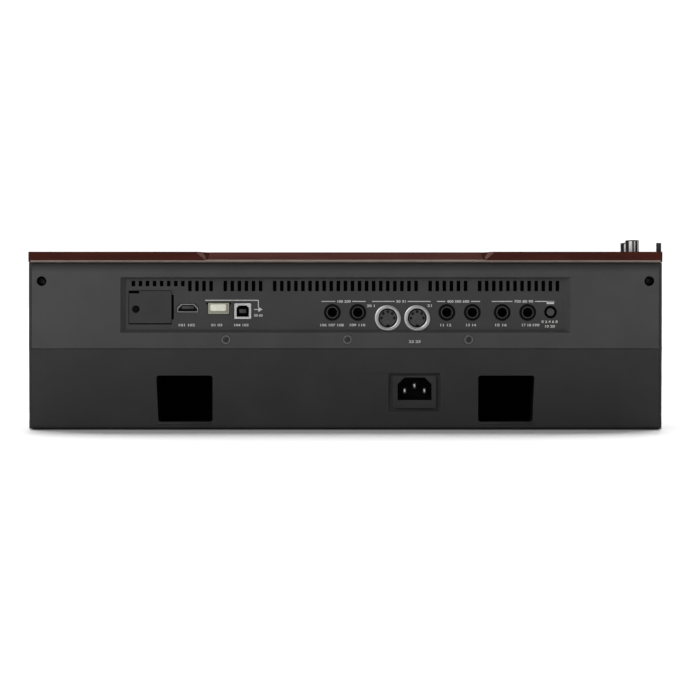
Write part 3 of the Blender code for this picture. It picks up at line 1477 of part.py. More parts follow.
def make_wheels(materials):
    """The pitch wheel and the modulation wheel on short axles."""
    wheels = []
    centre_z = wheel_centre_height()
    for name, x in zip(("pitch_wheel", "modulation_wheel"), wheel_places()):
        low, high = around(x, WHEEL_WIDTH)
        ring = circle((WHEEL_Y, centre_z), WHEEL_RADIUS, ROUND_STEPS)
        wheel = prism(name, ring, "X", low, high, materials["black"])
        axle = circle((WHEEL_Y, centre_z), WHEEL_AXLE_RADIUS, SMALL_STEPS)
        add(wheel, [prism("axle", axle, "X", low - WHEEL_AXLE_STUB, high + WHEEL_AXLE_STUB)])
        notch_z = centre_z + WHEEL_RADIUS + WHEEL_NOTCH_RADIUS - WHEEL_NOTCH_DEPTH
        notch = circle((WHEEL_Y, notch_z), WHEEL_NOTCH_RADIUS, SMALL_STEPS)
        cut(wheel, [prism("notch", notch, "X", low - CUT_OVERRUN, high + CUT_OVERRUN)])
        move_origin(wheel, (x, WHEEL_Y, centre_z))
        smooth(wheel)
        wheels.append(wheel)
    return wheels


def make_power_toggle(materials):
    """A slim lever on a hub, with a stub axle in the deck."""
    y, z = toggle_centre()
    low, high = toggle_x_range()
    hub = circle((y, z), TOGGLE_HUB_RADIUS, SMALL_STEPS)
    toggle = prism("power_toggle", hub, "X", low, high, materials["black"])
    tip_z = z + TOGGLE_HUB_BELOW + TOGGLE_RISE
    lever = [
        (y - TOGGLE_BASE_HALF, z),
        (y + TOGGLE_BASE_HALF, z),
        (y + TOGGLE_TIP_HALF, tip_z),
        (y - TOGGLE_TIP_HALF, tip_z),
    ]
    stub = circle((y, z), TOGGLE_STUB_RADIUS, PIN_STEPS)
    inset = TOGGLE_SIDE_GAP / 2
    lever_piece = prism("lever", lever, "X", low + inset, high - inset)
    stub_piece = prism("stub", stub, "X", (low + high) / 2, high + TOGGLE_STUB_LENGTH)
    add(toggle, [lever_piece, stub_piece])
    move_origin(toggle, ((low + high) / 2, y, z))
    return toggle


def hinge_notch(low):
    """Side view of the notch that sits on the hinge bead, open at a low height."""
    radius = HINGE_BEAD_RADIUS + SEAT_GAP
    roof = arc((PIVOT_Y, PIVOT_Z), radius, 0, math.pi, HINGE_STEPS)
    return [(PIVOT_Y + radius, low)] + roof + [(PIVOT_Y - radius, low)]


def make_key_frame(materials):
    """The key frame: a plate with the front stop rail and the hinge wall with its round bead."""
    low = FLOOR_TOP + SEAT_GAP
    plate_top = low + FRAME_PLATE
    rail_front = KEY_FRONT + STOP_RAIL_SETBACK
    rail_back = rail_front + STOP_RAIL_WALL
    stop_top = KEY_BOTTOM - KEY_DROP
    half_wall = HINGE_WALL / 2
    dip = math.asin(half_wall / HINGE_BEAD_RADIUS)
    start = -math.pi / 2 - dip
    end = -math.pi / 2 + dip
    steps = ROUND_STEPS // 2
    bead = arc((PIVOT_Y, PIVOT_Z), HINGE_BEAD_RADIUS, start, end - 2 * math.pi, steps)
    frame_end = PIVOT_Y + half_wall + FRAME_REAR_LIP
    outline = [
        (rail_front, low),
        (rail_front, stop_top),
        (rail_back, stop_top),
        (rail_back, plate_top),
        (PIVOT_Y - half_wall, plate_top),
    ]
    outline += bead
    outline += [(PIVOT_Y + half_wall, plate_top), (frame_end, plate_top), (frame_end, low)]
    return prism("key_frame", outline, "X", KEYS_LEFT, KEYS_RIGHT, materials["frame"])


def black_key_centres():
    """X of the black keys, which share each group of whites in equal tail widths."""
    centres = []
    for octave in range(OCTAVES):
        start = KEYS_LEFT + octave * WHITES_PER_OCTAVE * WHITE_PITCH
        for first_white, whites in ((0, 3), (3, 4)):
            tails = 2 * whites - 1
            tail = whites * WHITE_PITCH / tails
            group = start + first_white * WHITE_PITCH
            centres += [group + (2 * place + 1) * tail + tail / 2 for place in range(whites - 1)]
    return centres


def make_white_keys(materials, black_centres):
    """White keys: full-width heads and tails that leave room for the black keys."""
    side = BLACK_WIDTH / 2 + KEY_GAP
    shoulder = KEY_FRONT + HEAD_LENGTH
    keys = []
    for index in range(WHITE_COUNT):
        left = KEYS_LEFT + index * WHITE_PITCH + KEY_GAP / 2
        right = left + WHITE_PITCH - KEY_GAP
        tail_left = left
        tail_right = right
        for centre in black_centres:
            if left < centre + side and centre < left + WHITE_PITCH / 2:
                tail_left = max(tail_left, centre + side)
            if right > centre - side and centre > right - WHITE_PITCH / 2:
                tail_right = min(tail_right, centre - side)
        outline = [(left, KEY_FRONT), (right, KEY_FRONT), (right, shoulder)]
        if tail_right < right:
            outline.append((tail_right, shoulder))
        outline += [(tail_right, KEY_END), (tail_left, KEY_END)]
        if tail_left > left:
            outline.append((tail_left, shoulder))
        outline.append((left, shoulder))
        key = prism(f"white_key_{index + 1:02d}", outline, "Z", KEY_BOTTOM, KEY_TOP, materials["white"])
        notch = hinge_notch(KEY_BOTTOM - CUT_OVERRUN)
        under_lip = box(
            "under_lip",
            (left - CUT_OVERRUN, right + CUT_OVERRUN),
            (KEY_FRONT - CUT_OVERRUN, KEY_FRONT + KEY_LIP),
            (KEY_BOTTOM - CUT_OVERRUN, KEY_TOP - KEY_LIP_THICK),
        )
        cut(key, [prism("notch", notch, "X", left - CUT_OVERRUN, right + CUT_OVERRUN), under_lip])
        move_origin(key, ((left + right) / 2, PIVOT_Y, PIVOT_Z))
        keys.append(key)
    return keys


def make_black_keys(materials, black_centres):
    """Black keys: a raised cap that narrows upwards, and a plain tail under the deck."""
    front = KEY_FRONT + HEAD_LENGTH + KEY_GAP
    back = FALL_Y - BLACK_BACK_GAP
    cap_top = KEY_TOP + BLACK_RISE
    side_view = [(KEY_END, KEY_BOTTOM)] + hinge_notch(KEY_BOTTOM)
    side_view += [
        (front, KEY_BOTTOM),
        (front, KEY_TOP + BLACK_FRONT_LIP),
        (front + BLACK_NOSE, cap_top),
        (back, cap_top),
        (back, KEY_TOP),
        (KEY_END, KEY_TOP),
    ]
    keys = []
    for number, centre in enumerate(black_centres, start=1):
        low, high = around(centre, BLACK_WIDTH)
        key = prism(f"black_key_{number:02d}", side_view, "X", low, high, materials["black"])
        shrink = BLACK_TOP_WIDTH / BLACK_WIDTH
        for vertex in key.data.vertices:
            if vertex.co.z > cap_top - BLACK_RISE / 2:
                vertex.co.x = centre + (vertex.co.x - centre) * shrink
        move_origin(key, (centre, PIVOT_Y, PIVOT_Z))
        keys.append(key)
    return keys


def build():
    """Make every piece of the keyboard."""
    clear_scene()
    materials = make_materials()
    make_bottom_case(materials)
    make_top_deck(materials)
    make_rear_panel(materials)
    make_lower_rear_panel(materials)
    make_rear_ports(materials)
    make_service_cover(materials)
    make_hdmi_socket(materials)
    make_host_socket(materials)
    make_device_socket(materials)
    make_jack_sockets(materials)
    make_midi_sockets(materials)
    make_gain_knob(materials)
    make_ac_inlet(materials)
    make_boards(materials)
    make_display(materials)
    make_speakers(materials)
    make_ribbed_knobs(materials)
    make_data_dial(materials)
    make_buttons(materials)
    make_wheels(materials)
    make_power_toggle(materials)
    make_key_frame(materials)
    black_centres = black_key_centres()
    make_white_keys(materials, black_centres)
    make_black_keys(materials, black_centres)


build()
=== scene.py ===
"""Looks of the arranger keyboard: materials, small fittings, printed marks, light and camera.

Metres, +Z up. The player sits at -Y and the connectors face +Y, towards the camera.
"""

import math

import bmesh
import bpy
from mathutils import Matrix, Vector


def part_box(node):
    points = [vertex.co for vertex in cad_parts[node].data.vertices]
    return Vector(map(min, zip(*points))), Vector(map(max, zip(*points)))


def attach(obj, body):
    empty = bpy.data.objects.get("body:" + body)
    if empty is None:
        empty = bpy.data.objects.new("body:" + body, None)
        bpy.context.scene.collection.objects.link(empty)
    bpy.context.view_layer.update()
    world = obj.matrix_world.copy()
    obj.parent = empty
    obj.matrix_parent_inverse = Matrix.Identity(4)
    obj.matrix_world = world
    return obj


# Round pieces, edges and frames
ROUND_STEPS = 48
SMALL_STEPS = 24
CORNER_STEPS = 4
TINY_CORNER_STEPS = 2
EDGE_STEPS = 2
PIN_STEPS = 16
SHARP_ANGLE = math.radians(35)
QUARTER = math.pi / 2
LIFT = 0.00004
HAIR = LIFT / 4
BLOCK_SOFT = 0.0003
FINE_SOFT = 0.0001
THIN_SOFT = 0.00005
HERE = Matrix()
ALONG_X = Matrix(((0, 0, 1, 0), (1, 0, 0, 0), (0, 1, 0, 0), (0, 0, 0, 1)))
UPRIGHT = Matrix(((1, 0, 0, 0), (0, 0, 1, 0), (0, 1, 0, 0), (0, 0, 0, 1)))

# Deck surface
REAR_ZONE = 0.060
REAR_SLOPE = math.radians(4)
PANEL_ZONE = 0.120
PANEL_SLOPE = math.radians(12)
BLOCK_SLOPE = math.radians(5)

# Deck edge
DECK_THICK = 0.0071
DECK_CHAMFER = 0.0014
SCOOP_DEPTH = 0.006
SCOOP_HALF_INNER = 0.0959
SCOOP_HALF_LOW = 0.0981
SCOOP_HALF_TOP = 0.1063
FACET_WIDTHS = (0.45, 0.28)
PLATE_THICK = 0.00012
TRIM_FACE = 0.0005
TRIM_ROOT = 0.0018
TRIM_DROP = 0.0004

# Screens and felt inside the case; the near-black screens paint the shade behind the openings
FLOOR_BOTTOM = 0.0006
FIELD_BACK = 0.0075
FIELD_DEPTH = 0.004
SCREEN_THICK = 0.001
VENT_SCREEN_X = (-0.154, 0.153)
VENT_SCREEN_Z = (0.0978, 0.1070)
COVER_SCREEN_LEFT = 0.0023
COVER_SCREEN_RIGHT = 0.002
COVER_SCREEN_Z = (0.0745, 0.0976)
FOAM_THICK = 0.004
PORT_WALL = 0.0016
FELT_Y = (-0.1622, -0.1502)
FELT_Z = (0.0500, 0.0535)

# Seams, lips and sill of the rear panels
SEAM_WIDTH = 0.0005
SEAM_SETBACK = 0.0003
SEAM_BACK = 0.002
LOWER_LEAN = 0.003
PORT_LIP_SIDE = 0.002
PORT_LIP_Y = (-0.0008, 0.0003)
PORT_LIP_Z = (0.0040, 0.0050)
INLET_SILL_HALF = 0.0176
INLET_SILL_Y = (-0.0033, -0.0004)
INLET_SILL_Z = (0.0136, 0.0145)

# Painted shade on the upper rear panel: a darker band under the deck's overhang, and a darker sunk connector
# field
PAINTED_SHADE_Z = (0.1118, 0.1182)
PAINTED_SHADE_TONE = 0.25
FIELD_SHADE_TONE = 0.78

# Jacks and five-pin sockets
JACK_COUNT = 6
JACK_RING_OUTER = 0.0041
JACK_RING_INNER = 0.0036
JACK_RING_RIM = 0.0003
JACK_BORE_RADIUS = 0.00325
JACK_SLEEVE_WALL = 0.00035
JACK_SLEEVE_START = -0.0018
JACK_SLEEVE_LENGTH = 0.009
MIDI_COUNT = 2
MIDI_RADIUS = 0.0092
MIDI_LIP = 0.0006
MIDI_OPENING_RADIUS = 0.00695
MIDI_EDGE_RADIUS = 0.0058
MIDI_INSERT_SETBACK = 0.0008
MIDI_PIN_CIRCLE = 0.0045
MIDI_PIN_RADIUS = 0.0009
MIDI_PIN_WALL = 0.00025
MIDI_PIN_RISE = 0.0001
MIDI_PIN_DEPTH = 0.003
MIDI_PIN_COUNT = 5
MIDI_KEYWAY_RADIUS = 0.0013
MIDI_KEYWAY_RISE = 0.0003
MIDI_KEYWAY_STEPS = 10

# Data sockets
HDMI_CHAMFER = 0.0028
HDMI_SHELL = 0.0006
HDMI_CAVITY = 0.0105
HDMI_TONGUE_WIDTH = 0.0084
HDMI_TONGUE_HEIGHT = 0.0018
HDMI_TONGUE_RISE = 0.0006
HDMI_CONTACTS = 9
CONTACT_THICK = 0.00012
CONTACT_SETBACK = 0.0004
CONTACT_SOFT = 0.00003
TONGUE_SETBACK = 0.001
TONGUE_CORNER = 0.0002
HOST_SHELL = 0.0008
HOST_LATCH = 0.0014
HOST_LATCH_Y = (-0.0006, -0.0005 + LIFT)
PLUG_CORNER = 0.0006
PLUG_Y = (-0.0006, 0.0002)
PLUG_FACE_CENTRE = (-0.0003, 0.0006)
PLUG_FACE_SIDES = 0.0034
PLUG_FACE_SHARE = 0.62
PLUG_FACE_CORNER = 0.0012
PLUG_FACE_Y = (0.0001, 0.0008)
DEVICE_SHELL = 0.0016
DEVICE_CAVITY = 0.009
DEVICE_CHAMFER = 0.0017
DEVICE_TONGUE_WIDTH = 0.0046
DEVICE_TONGUE_HEIGHT = 0.0026
LINER_WALL = 0.00018
COVER_SKIN = 0.00008

# Recessed gain knob
GAIN_HOLE_RADIUS = 0.00455
GAIN_COLLAR_INNER = 0.0031
GAIN_COLLAR_BEVEL = 0.0005
GAIN_COLLAR_LEVELS = (-0.0022, -0.0008, 0.0004, 0.0010)

# Inlet
INLET_CAVITY_RISE = 0.0022
INLET_CAVITY_DEPTH = 0.017
INLET_CAVITY_WIDTH = 0.0240
INLET_CAVITY_HEIGHT = 0.0160
INLET_CAVITY_CHAMFER = 0.0048
INLET_PIN_SPACING = 0.014
INLET_PIN_WIDTH = 0.002
INLET_PIN_HEIGHT = 0.004
INLET_PIN_CORNER = 0.0005
INLET_PIN_DROP = 0.0014
INLET_PIN_SETBACK = 0.002
INLET_PIN_TAPER = 0.0014
INLET_PIN_TIP = 0.45
INLET_EARTH_RISE = 0.0035

# Shares of a screw head's radius or height
CROSS_ARM = 0.62
CROSS_WIDTH = 0.15
PIT_TAPER = 0.7
PIT_FLOOR = 0.1
HEAD_EDGE = 0.45
HEAD_CROWN = 0.82
HEAD_DOME = 0.8

# Screws
BRIGHT_SCREW_X = (0.0848, -0.0014, -0.0874)
BRIGHT_SCREW_Z = 0.0641
BRIGHT_SCREW_RADIUS = 0.00325
BRIGHT_SCREW_DEPTH = 0.0016
BRIGHT_SCREW_SUNK = 0.0003
BRIGHT_SCREW_CROSS = 0.17
SCREW_RIM = 0.7
SCREW_RIM_EDGE = 0.6
SCREW_RIM_TOP = 0.9
DEEP_SCREW_FROM_SIDE = 0.009
DEEP_SCREW_Z = 0.1056
DEEP_SCREW_RADIUS = 0.0031
DEEP_SCREW_HEIGHT = 0.0018
DEEP_SCREW_HOLE = 0.0035
DEEP_SCREW_DEPTH = 0.010
DEEP_SLEEVE_SETBACK = 0.0003
COVER_SCREW_IN = 0.0048
COVER_SCREW_DOWN = 0.0015
COVER_SCREW_RADIUS = 0.00225
COVER_SCREW_DEPTH = 0.0008
COVER_WASHER_RADIUS = 0.0027
COVER_WASHER_BEVEL = 0.0001
COVER_WASHER_RISE = 0.00012
COVER_SHADOW_RISE = 0.0002
COVER_SHADOW_Z = (-0.0009, -0.0001)
FLOOR_SCREW_RADIUS = 0.0028
FLOOR_SCREW_HEIGHT = 0.0004
FLOOR_SCREW_ACROSS = (-0.9, -0.45, 0, 0.45, 0.9)
FLOOR_SCREW_ALONG = (0.09, 0.5, 0.91)

# Printed marks of the connector field, each bracket as left end, label centre, label width, right end
PRINT_LINE = 0.0006
PRINT_THICK = 0.00003
PRINT_HEIGHT = 0.0017
PRINT_BOLD = 0.00006
DIGIT_SHARE = 0.7
DIGIT_STEPS = 3
SAME_POINT = 0.0000001
BRACKET_Z = 0.0912
BRACKET_SPACE = 0.0013
BRACKETS = (
    ("100 200", 0.0169, 0.0012, 0.0095, -0.0144),
    ("30 31", -0.0189, -0.0396, 0.0067, -0.0605),
    ("400 500 600", -0.0650, -0.0800, 0.0159, -0.0956),
    ("700 80 90", -0.1039, -0.1266, 0.0134, -0.1484),
)
GAIN_BAR = (-0.1455, 0.0903, 0.0052, 0.0020)
LABEL_Z = 0.0744
LABELS = (
    ("101 102", 0.1129, LABEL_Z, 0.0115),
    ("01 03", 0.0913, LABEL_Z, 0.0078),
    ("104 105", 0.0741, LABEL_Z, 0.0102),
    ("106 107 108", 0.0098, LABEL_Z, 0.0166),
    ("109 110", -0.0083, LABEL_Z, 0.0110),
    ("11 12", -0.0710, LABEL_Z, 0.0078),
    ("13 14", -0.0890, LABEL_Z, 0.0070),
    ("15 16", -0.1102, LABEL_Z, 0.0082),
    ("17 18", -0.1284, LABEL_Z, 0.0065),
    ("190", -0.1351, LABEL_Z, 0.0046),
    ("0 2 4 6 8", -0.1450, 0.0768, 0.0115),
    ("10 20", -0.1450, 0.0735, 0.0070),
    ("20 1", -0.0183, 0.0881, 0.0055),
    ("21", -0.0601, 0.0882, 0.0032),
)
INLET_LABEL = ("22 23", -0.0492, 0.0627, 0.0083)
DATA_BRACKET_Z = 0.0920
DATA_BRACKET = (0.0996, 0.0618)
DATA_STEM_LOW = 0.0873
DATA_ARROW_Z = 0.0855
DATA_ARROW_HALF = 0.0030
DATA_ARROW_SLIM = 0.6
DATA_LABEL = "50 60"
DATA_LABEL_Z = 0.0813

# Knobs and dial, each bright inlay, a painted reflection stripe, as its angle and half its width
CONTROL_GAP = 0.0004
KNOB_RADIUS = 0.005
KNOB_HEIGHT = 0.0096
REFLECTION_INLAYS = (
    (math.radians(-16.5), math.radians(14)),
    (math.radians(17), math.radians(5.5)),
    (math.radians(58), math.radians(11)),
)
INLAY_PROUD = 0.00016
INLAY_THICK = 0.0004
INLAY_FROM_END = 0.0008
INLAY_STEPS = 5
POINTER_OUT = 0.55
POINTER_WIDTH = 0.0007
POINTER_LENGTH = 0.0030
POINTER_CORNER = 0.0002
TICK_COUNT = 11
TICK_SPAN = math.radians(270)
TICK_OUT = 0.0026
TICK_LENGTH = 0.0014
TICK_WIDTH = 0.0004
DIAL_RADIUS = 0.0175
DIAL_HEIGHT = 0.011
DIAL_RIBS = 60
DIAL_RIB_HEIGHTS = (-0.0001, 0.0003)
DIAL_GRIP_LOW = 0.0015
DIAL_GRIP_TOP = 0.0018
DIAL_COLLAR = ((0.0008, 0), (0.0008, 0.0005), (0.0011, 0.0008), (0.0019, 0.0005), (0.0022, 0))
DIAL_COLLAR_STEPS = 64

# Buttons, wheels, display and speakers
BUTTON_TOP = 0.0028
MARK_HEIGHT = 0.0040
PLAY_X = (-0.0052, -0.0016)
STOP_X = 0.0032
STOP_SIDE = 0.0034
PAUSE_X = 0.0016
PAUSE_WIDTH = 0.0012
LAMP_PROFILE = ((0, -0.0004), (0.0012, -0.0004), (0.0012, 0.0002), (0.0007, 0.0007), (0, 0.0009))
LAMP_STEPS = 20
LAMP_FROM_BUTTON = 0.0095
WHEEL_RADIUS = 0.024
WHEEL_WIDTH = 0.010
WHEEL_RIB_STEP = math.radians(6)
WHEEL_RIBS = range(4, 11)
WHEEL_RIB_SIDES = 0.0016
WHEEL_RIB_WIDTH = 0.0010
WHEEL_RIB_CORNER = 0.0004
WHEEL_RIB_HALF = 0.0003
BORDER_DROP = 0.0002
BORDER_INSET = 0.010
BORDER_LINE = 0.0008
BORDER_CORNER = 0.002
SURROUND_RADIUS = 0.0275
SURROUND_ROLL = 0.0018
SURROUND_DROP = 0.0084
SURROUND_STEPS = 8
SPEAKER_FROM_ZONE = 0.038

# Finish and softened edge of every node, by the start of its name
NODE_FINISHES = (
    ("top_deck", "deck_lacquer", 0.0007),
    ("bottom_case", "case_plastic", 0.0004),
    ("rear_panel", "panel_plastic", 0.00025),
    ("lower_rear_panel", "low_panel_plastic", 0.00035),
    ("port_", "black_plastic", 0.0002),
    ("service_cover", "cover_plastic", 0.0003),
    ("hdmi_socket", "dark_shell", 0.0001),
    ("usb_host_socket", "cream_shell", 0.0004),
    ("usb_device_socket", "bright_nickel", 0.0002),
    ("jack_socket_", "socket_plastic", 0.0003),
    ("midi_socket_", "insert_plastic", 0.0001),
    ("gain_knob", "gain_cap", 0.0002),
    ("ac_inlet", "sill_plastic", 0.0003),
    ("main_board", "board_green", 0.0001),
    ("power_supply", "frame_steel", 0.0006),
    ("display_bezel", "black_plastic", 0.0005),
    ("display_glass", "display_glass", 0.0002),
    ("speaker_", "paper_cone", 0.0003),
    ("volume_knob", "black_plastic", 0.0005),
    ("tone_knob", "black_plastic", 0.0005),
    ("data_dial", "black_plastic", 0.0008),
    ("start_stop_button", "button_cap", 0.0005),
    ("variation_button", "button_cap", 0.0005),
    ("pitch_wheel", "rubber", 0.0006),
    ("modulation_wheel", "rubber", 0.0006),
    ("power_toggle", "black_plastic", 0.0003),
    ("key_frame", "frame_steel", 0.0002),
    ("white_key_", "ivory_key", 0.0006),
    ("black_key_", "satin_key", 0.0009),
)

# Noise of the finishes: its detail, and the part of its range that is used
BROAD_DETAIL = 4.0
FINE_DETAIL = 2.0
GLOSS_RANGE = (0.3, 0.7)
COLOUR_RANGE = (0.35, 0.65)

# Light and floor
KEY_STRENGTH = 7.1
KEY_ANGLE = math.radians(70)
KEY_TILT = math.radians(61)
FILL_PLACE = (1.4, 2.2, 1.3)
FILL_TARGET = (0, 0.17, 0.08)
FILL_WIDTH = 1.8
FILL_HEIGHT = 1.6
FILL_POWER = 26
SURROUND_LIGHT = 0.28
BACKDROP_LIGHT = 1.1
FLOOR_REACH = 60

# Camera
CAMERA_DISTANCE = 3.0
CAMERA_HEIGHT = 0.090
FRAME_PIXELS = 700
PIXELS_PER_METRE = 1410
SENSOR_WIDTH = 36
MIDDLE_PIXEL_X = 345.4
FLOOR_PIXEL_Y = 430

# Every material by its name, filled by make_materials
finishes = {}


def facing_rear(x, y, z):
    """A frame that faces the camera: local X to its right, local Y up and local Z out of the rear."""
    return Matrix(((-1, 0, 0, x), (0, 0, 1, y), (0, 1, 0, z), (0, 0, 0, 1)))


def facing_down(x, y, z):
    """A frame on the underside, local Z towards the floor."""
    return Matrix(((1, 0, 0, x), (0, -1, 0, y), (0, 0, -1, z), (0, 0, 0, 1)))


def middle(node):
    """The middle of a node's box."""
    low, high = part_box(node)
    return (low + high) / 2


def size(node):
    """The size of a node's box."""
    low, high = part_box(node)
    return high - low


def rear_face(node, across=0, up=0):
    """A rear frame on the middle of a node's rear face, moved along X and Z."""
    centre = middle(node)
    return facing_rear(centre.x + across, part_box(node)[1].y, centre.z + up)


def about(value, offsets):
    """The range that two offsets from a value give."""
    return (value + offsets[0], value + offsets[1])


def deck_at(y):
    """Height and slope of the deck's top surface."""
    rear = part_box("top_deck")[1]
    start_y = rear.y
    start_z = rear.z
    for length, slope in ((REAR_ZONE, REAR_SLOPE), (PANEL_ZONE, PANEL_SLOPE)):
        if y >= start_y - length:
            return start_z - (start_y - y) * math.tan(slope), slope
        start_y -= length
        start_z -= length * math.tan(slope)
    return start_z - (start_y - y) * math.tan(BLOCK_SLOPE), BLOCK_SLOPE


def on_deck(x, y):
    """A frame on the deck, local Y up its slope and local Z along its normal."""
    height, slope = deck_at(y)
    return Matrix.Translation((x, y, height)) @ Matrix.Rotation(slope, 4, "X")


def control_place(name, height):
    """The frame of a round control, whose axis meets the deck behind the middle of its leaning box."""
    centre = middle(name)
    lean = (CONTROL_GAP + height / 2) * math.sin(deck_at(centre.y)[1])
    return on_deck(centre.x, centre.y + lean)


def arc(centre, radius, start, end, steps):
    """Points of an arc, both ends included."""
    points = []
    for step in range(steps + 1):
        angle = start + (end - start) * step / steps
        points.append((centre[0] + radius * math.cos(angle), centre[1] + radius * math.sin(angle)))
    return points


def circle(radius, steps):
    """Points of a full circle about the origin."""
    return arc((0, 0), radius, 0, 4 * QUARTER, steps)[:-1]


def rectangle(centre, width, height):
    """The corners of an upright rectangle about a centre."""
    x, y = centre
    return [
        (x - width / 2, y - height / 2),
        (x + width / 2, y - height / 2),
        (x + width / 2, y + height / 2),
        (x - width / 2, y + height / 2),
    ]


def rounded(centre, width, height, radius, steps=CORNER_STEPS):
    """A rectangle with round corners."""
    x, y = centre
    points = []
    for turn, (right, up) in enumerate(((1, 1), (-1, 1), (-1, -1), (1, -1))):
        corner = (x + right * (width / 2 - radius), y + up * (height / 2 - radius))
        points += arc(corner, radius, turn * QUARTER, (turn + 1) * QUARTER, steps)
    return points


def cut_corners(width, height, chamfer):
    """A rectangle about the origin whose two upper corners are cut off."""
    half = width / 2
    top = height / 2
    return [
        (-half, -top),
        (half, -top),
        (half, top - chamfer),
        (half - chamfer, top),
        (-half + chamfer, top),
        (-half, top - chamfer),
    ]


def loop(shape, outline, level, scale=1):
    """The points of an outline at a level of local Z."""
    return [shape.verts.new((x * scale, y * scale, level)) for x, y in outline]


def band(shape, first, second):
    """Faces between two loops of equal count."""
    for index in range(len(first)):
        following = (index + 1) % len(first)
        shape.faces.new((first[index], first[following], second[following], second[index]))


def tube(outer, inner, low, high):
    """A wall between two outlines of equal count, drawn out along local Z."""
    shape = bmesh.new()
    levels = ((outer, low), (outer, high), (inner, high), (inner, low))
    rings = [loop(shape, outline, level) for outline, level in levels]
    for first, second in zip(rings, rings[1:] + rings[:1]):
        band(shape, first, second)
    return shape


def tapered(outline, levels):
    """An outline drawn out along local Z through (height, scale) levels."""
    shape = bmesh.new()
    rings = [loop(shape, outline, level, scale) for level, scale in levels]
    for first, second in zip(rings, rings[1:]):
        band(shape, first, second)
    shape.faces.new(rings[0][::-1])
    shape.faces.new(rings[-1])
    return shape


def drawn(outline, low, high, soften=0.0):
    """A flat outline drawn out along local Z, with softened edges."""
    shape = tapered(outline, ((low, 1), (high, 1)))
    if soften:
        bmesh.ops.recalc_face_normals(shape, faces=shape.faces)
        sharp = [edge for edge in shape.edges if edge.calc_face_angle(0) > SHARP_ANGLE]
        bmesh.ops.bevel(
            shape, geom=sharp, offset=soften, segments=EDGE_STEPS, profile=0.5, affect="EDGES",
            clamp_overlap=True,
        )
    return shape


def lathe(profile, steps=ROUND_STEPS, closed=True):
    """A shape of revolution about local Z from (radius, height) pairs. A closed profile makes a ring."""
    shape = bmesh.new()
    rows = []
    for radius, height in profile:
        rows.append(loop(shape, circle(radius, steps) if radius else [(0, 0)], height))
    pairs = list(zip(rows, rows[1:]))
    if closed:
        pairs.append((rows[-1], rows[0]))
    for lower, upper in pairs:
        for index in range(steps):
            following = (index + 1) % steps
            corners = [lower[index % len(lower)], lower[following % len(lower)]]
            corners += [upper[following % len(upper)], upper[index % len(upper)]]
            shape.faces.new(list(dict.fromkeys(corners)))
    return shape


def sleeve(outer, wall, start, end, steps=SMALL_STEPS):
    """A round sleeve about local Z."""
    inner = outer - wall
    return lathe([(outer, start), (inner, start), (inner, end), (outer, end)], steps)


def moved(shape, place):
    """Move a shape into a frame."""
    shape.transform(place)
    return shape


def joined(shapes):
    """One shape from several."""
    whole = bmesh.new()
    for shape in shapes:
        mesh = bpy.data.meshes.new("part")
        shape.to_mesh(mesh)
        shape.free()
        whole.from_mesh(mesh)
        bpy.data.meshes.remove(mesh)
    return whole


def block(x_range, y_range, z_range):
    """An upright block with softened edges."""
    left, right = x_range
    low, high = z_range
    outline = [(left, low), (right, low), (right, high), (left, high)]
    return moved(drawn(outline, y_range[0], y_range[1], BLOCK_SOFT), UPRIGHT)


def in_scene(name, data):
    """A new object in the scene."""
    thing = bpy.data.objects.new(name, data)
    bpy.context.scene.collection.objects.link(thing)
    return thing


def piece(name, shape, place, finish, body="case"):
    """Move a shape into a frame and make it a piece that rides on a body."""
    shape.transform(place)
    bmesh.ops.recalc_face_normals(shape, faces=shape.faces)
    mesh = bpy.data.meshes.new(name)
    shape.to_mesh(mesh)
    shape.free()
    mesh.materials.append(finishes[finish])
    mesh.shade_smooth()
    mesh.set_sharp_from_angle(angle=SHARP_ANGLE)
    thing = in_scene(name, mesh)
    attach(thing, body)


def node_after(tree, kind, source, socket):
    """A new node that takes its input from another node's output."""
    made = tree.nodes.new(kind)
    tree.links.new(source, made.inputs[socket])
    return made


def noise(tree, place, grain, detail):
    """Noise whose blobs are about as large as the grain, in metres."""
    made = node_after(tree, "ShaderNodeTexNoise", place, "Vector")
    made.inputs["Scale"].default_value = 1 / grain
    made.inputs["Detail"].default_value = detail
    return made


def spread(tree, source, low, high):
    """Stretch the middle of a noise to a range of values."""
    made = node_after(tree, "ShaderNodeMapRange", source, "Value")
    made.inputs["From Min"].default_value, made.inputs["From Max"].default_value = GLOSS_RANGE
    made.inputs["To Min"].default_value = low
    made.inputs["To Max"].default_value = high
    return made


def two_tone(tree, source, first, second):
    """Run from one colour to another with the middle of a noise."""
    made = node_after(tree, "ShaderNodeValToRGB", source, "Fac")
    for element, position, colour in zip(made.color_ramp.elements, COLOUR_RANGE, (first, second)):
        element.position = position
        element.color = (*colour, 1)
    return made


def grey(value):
    """A neutral colour."""
    return (value, value, value)


def shade(colour, factor):
    """A colour made lighter or darker."""
    return tuple(min(1.0, channel * factor) for channel in colour)


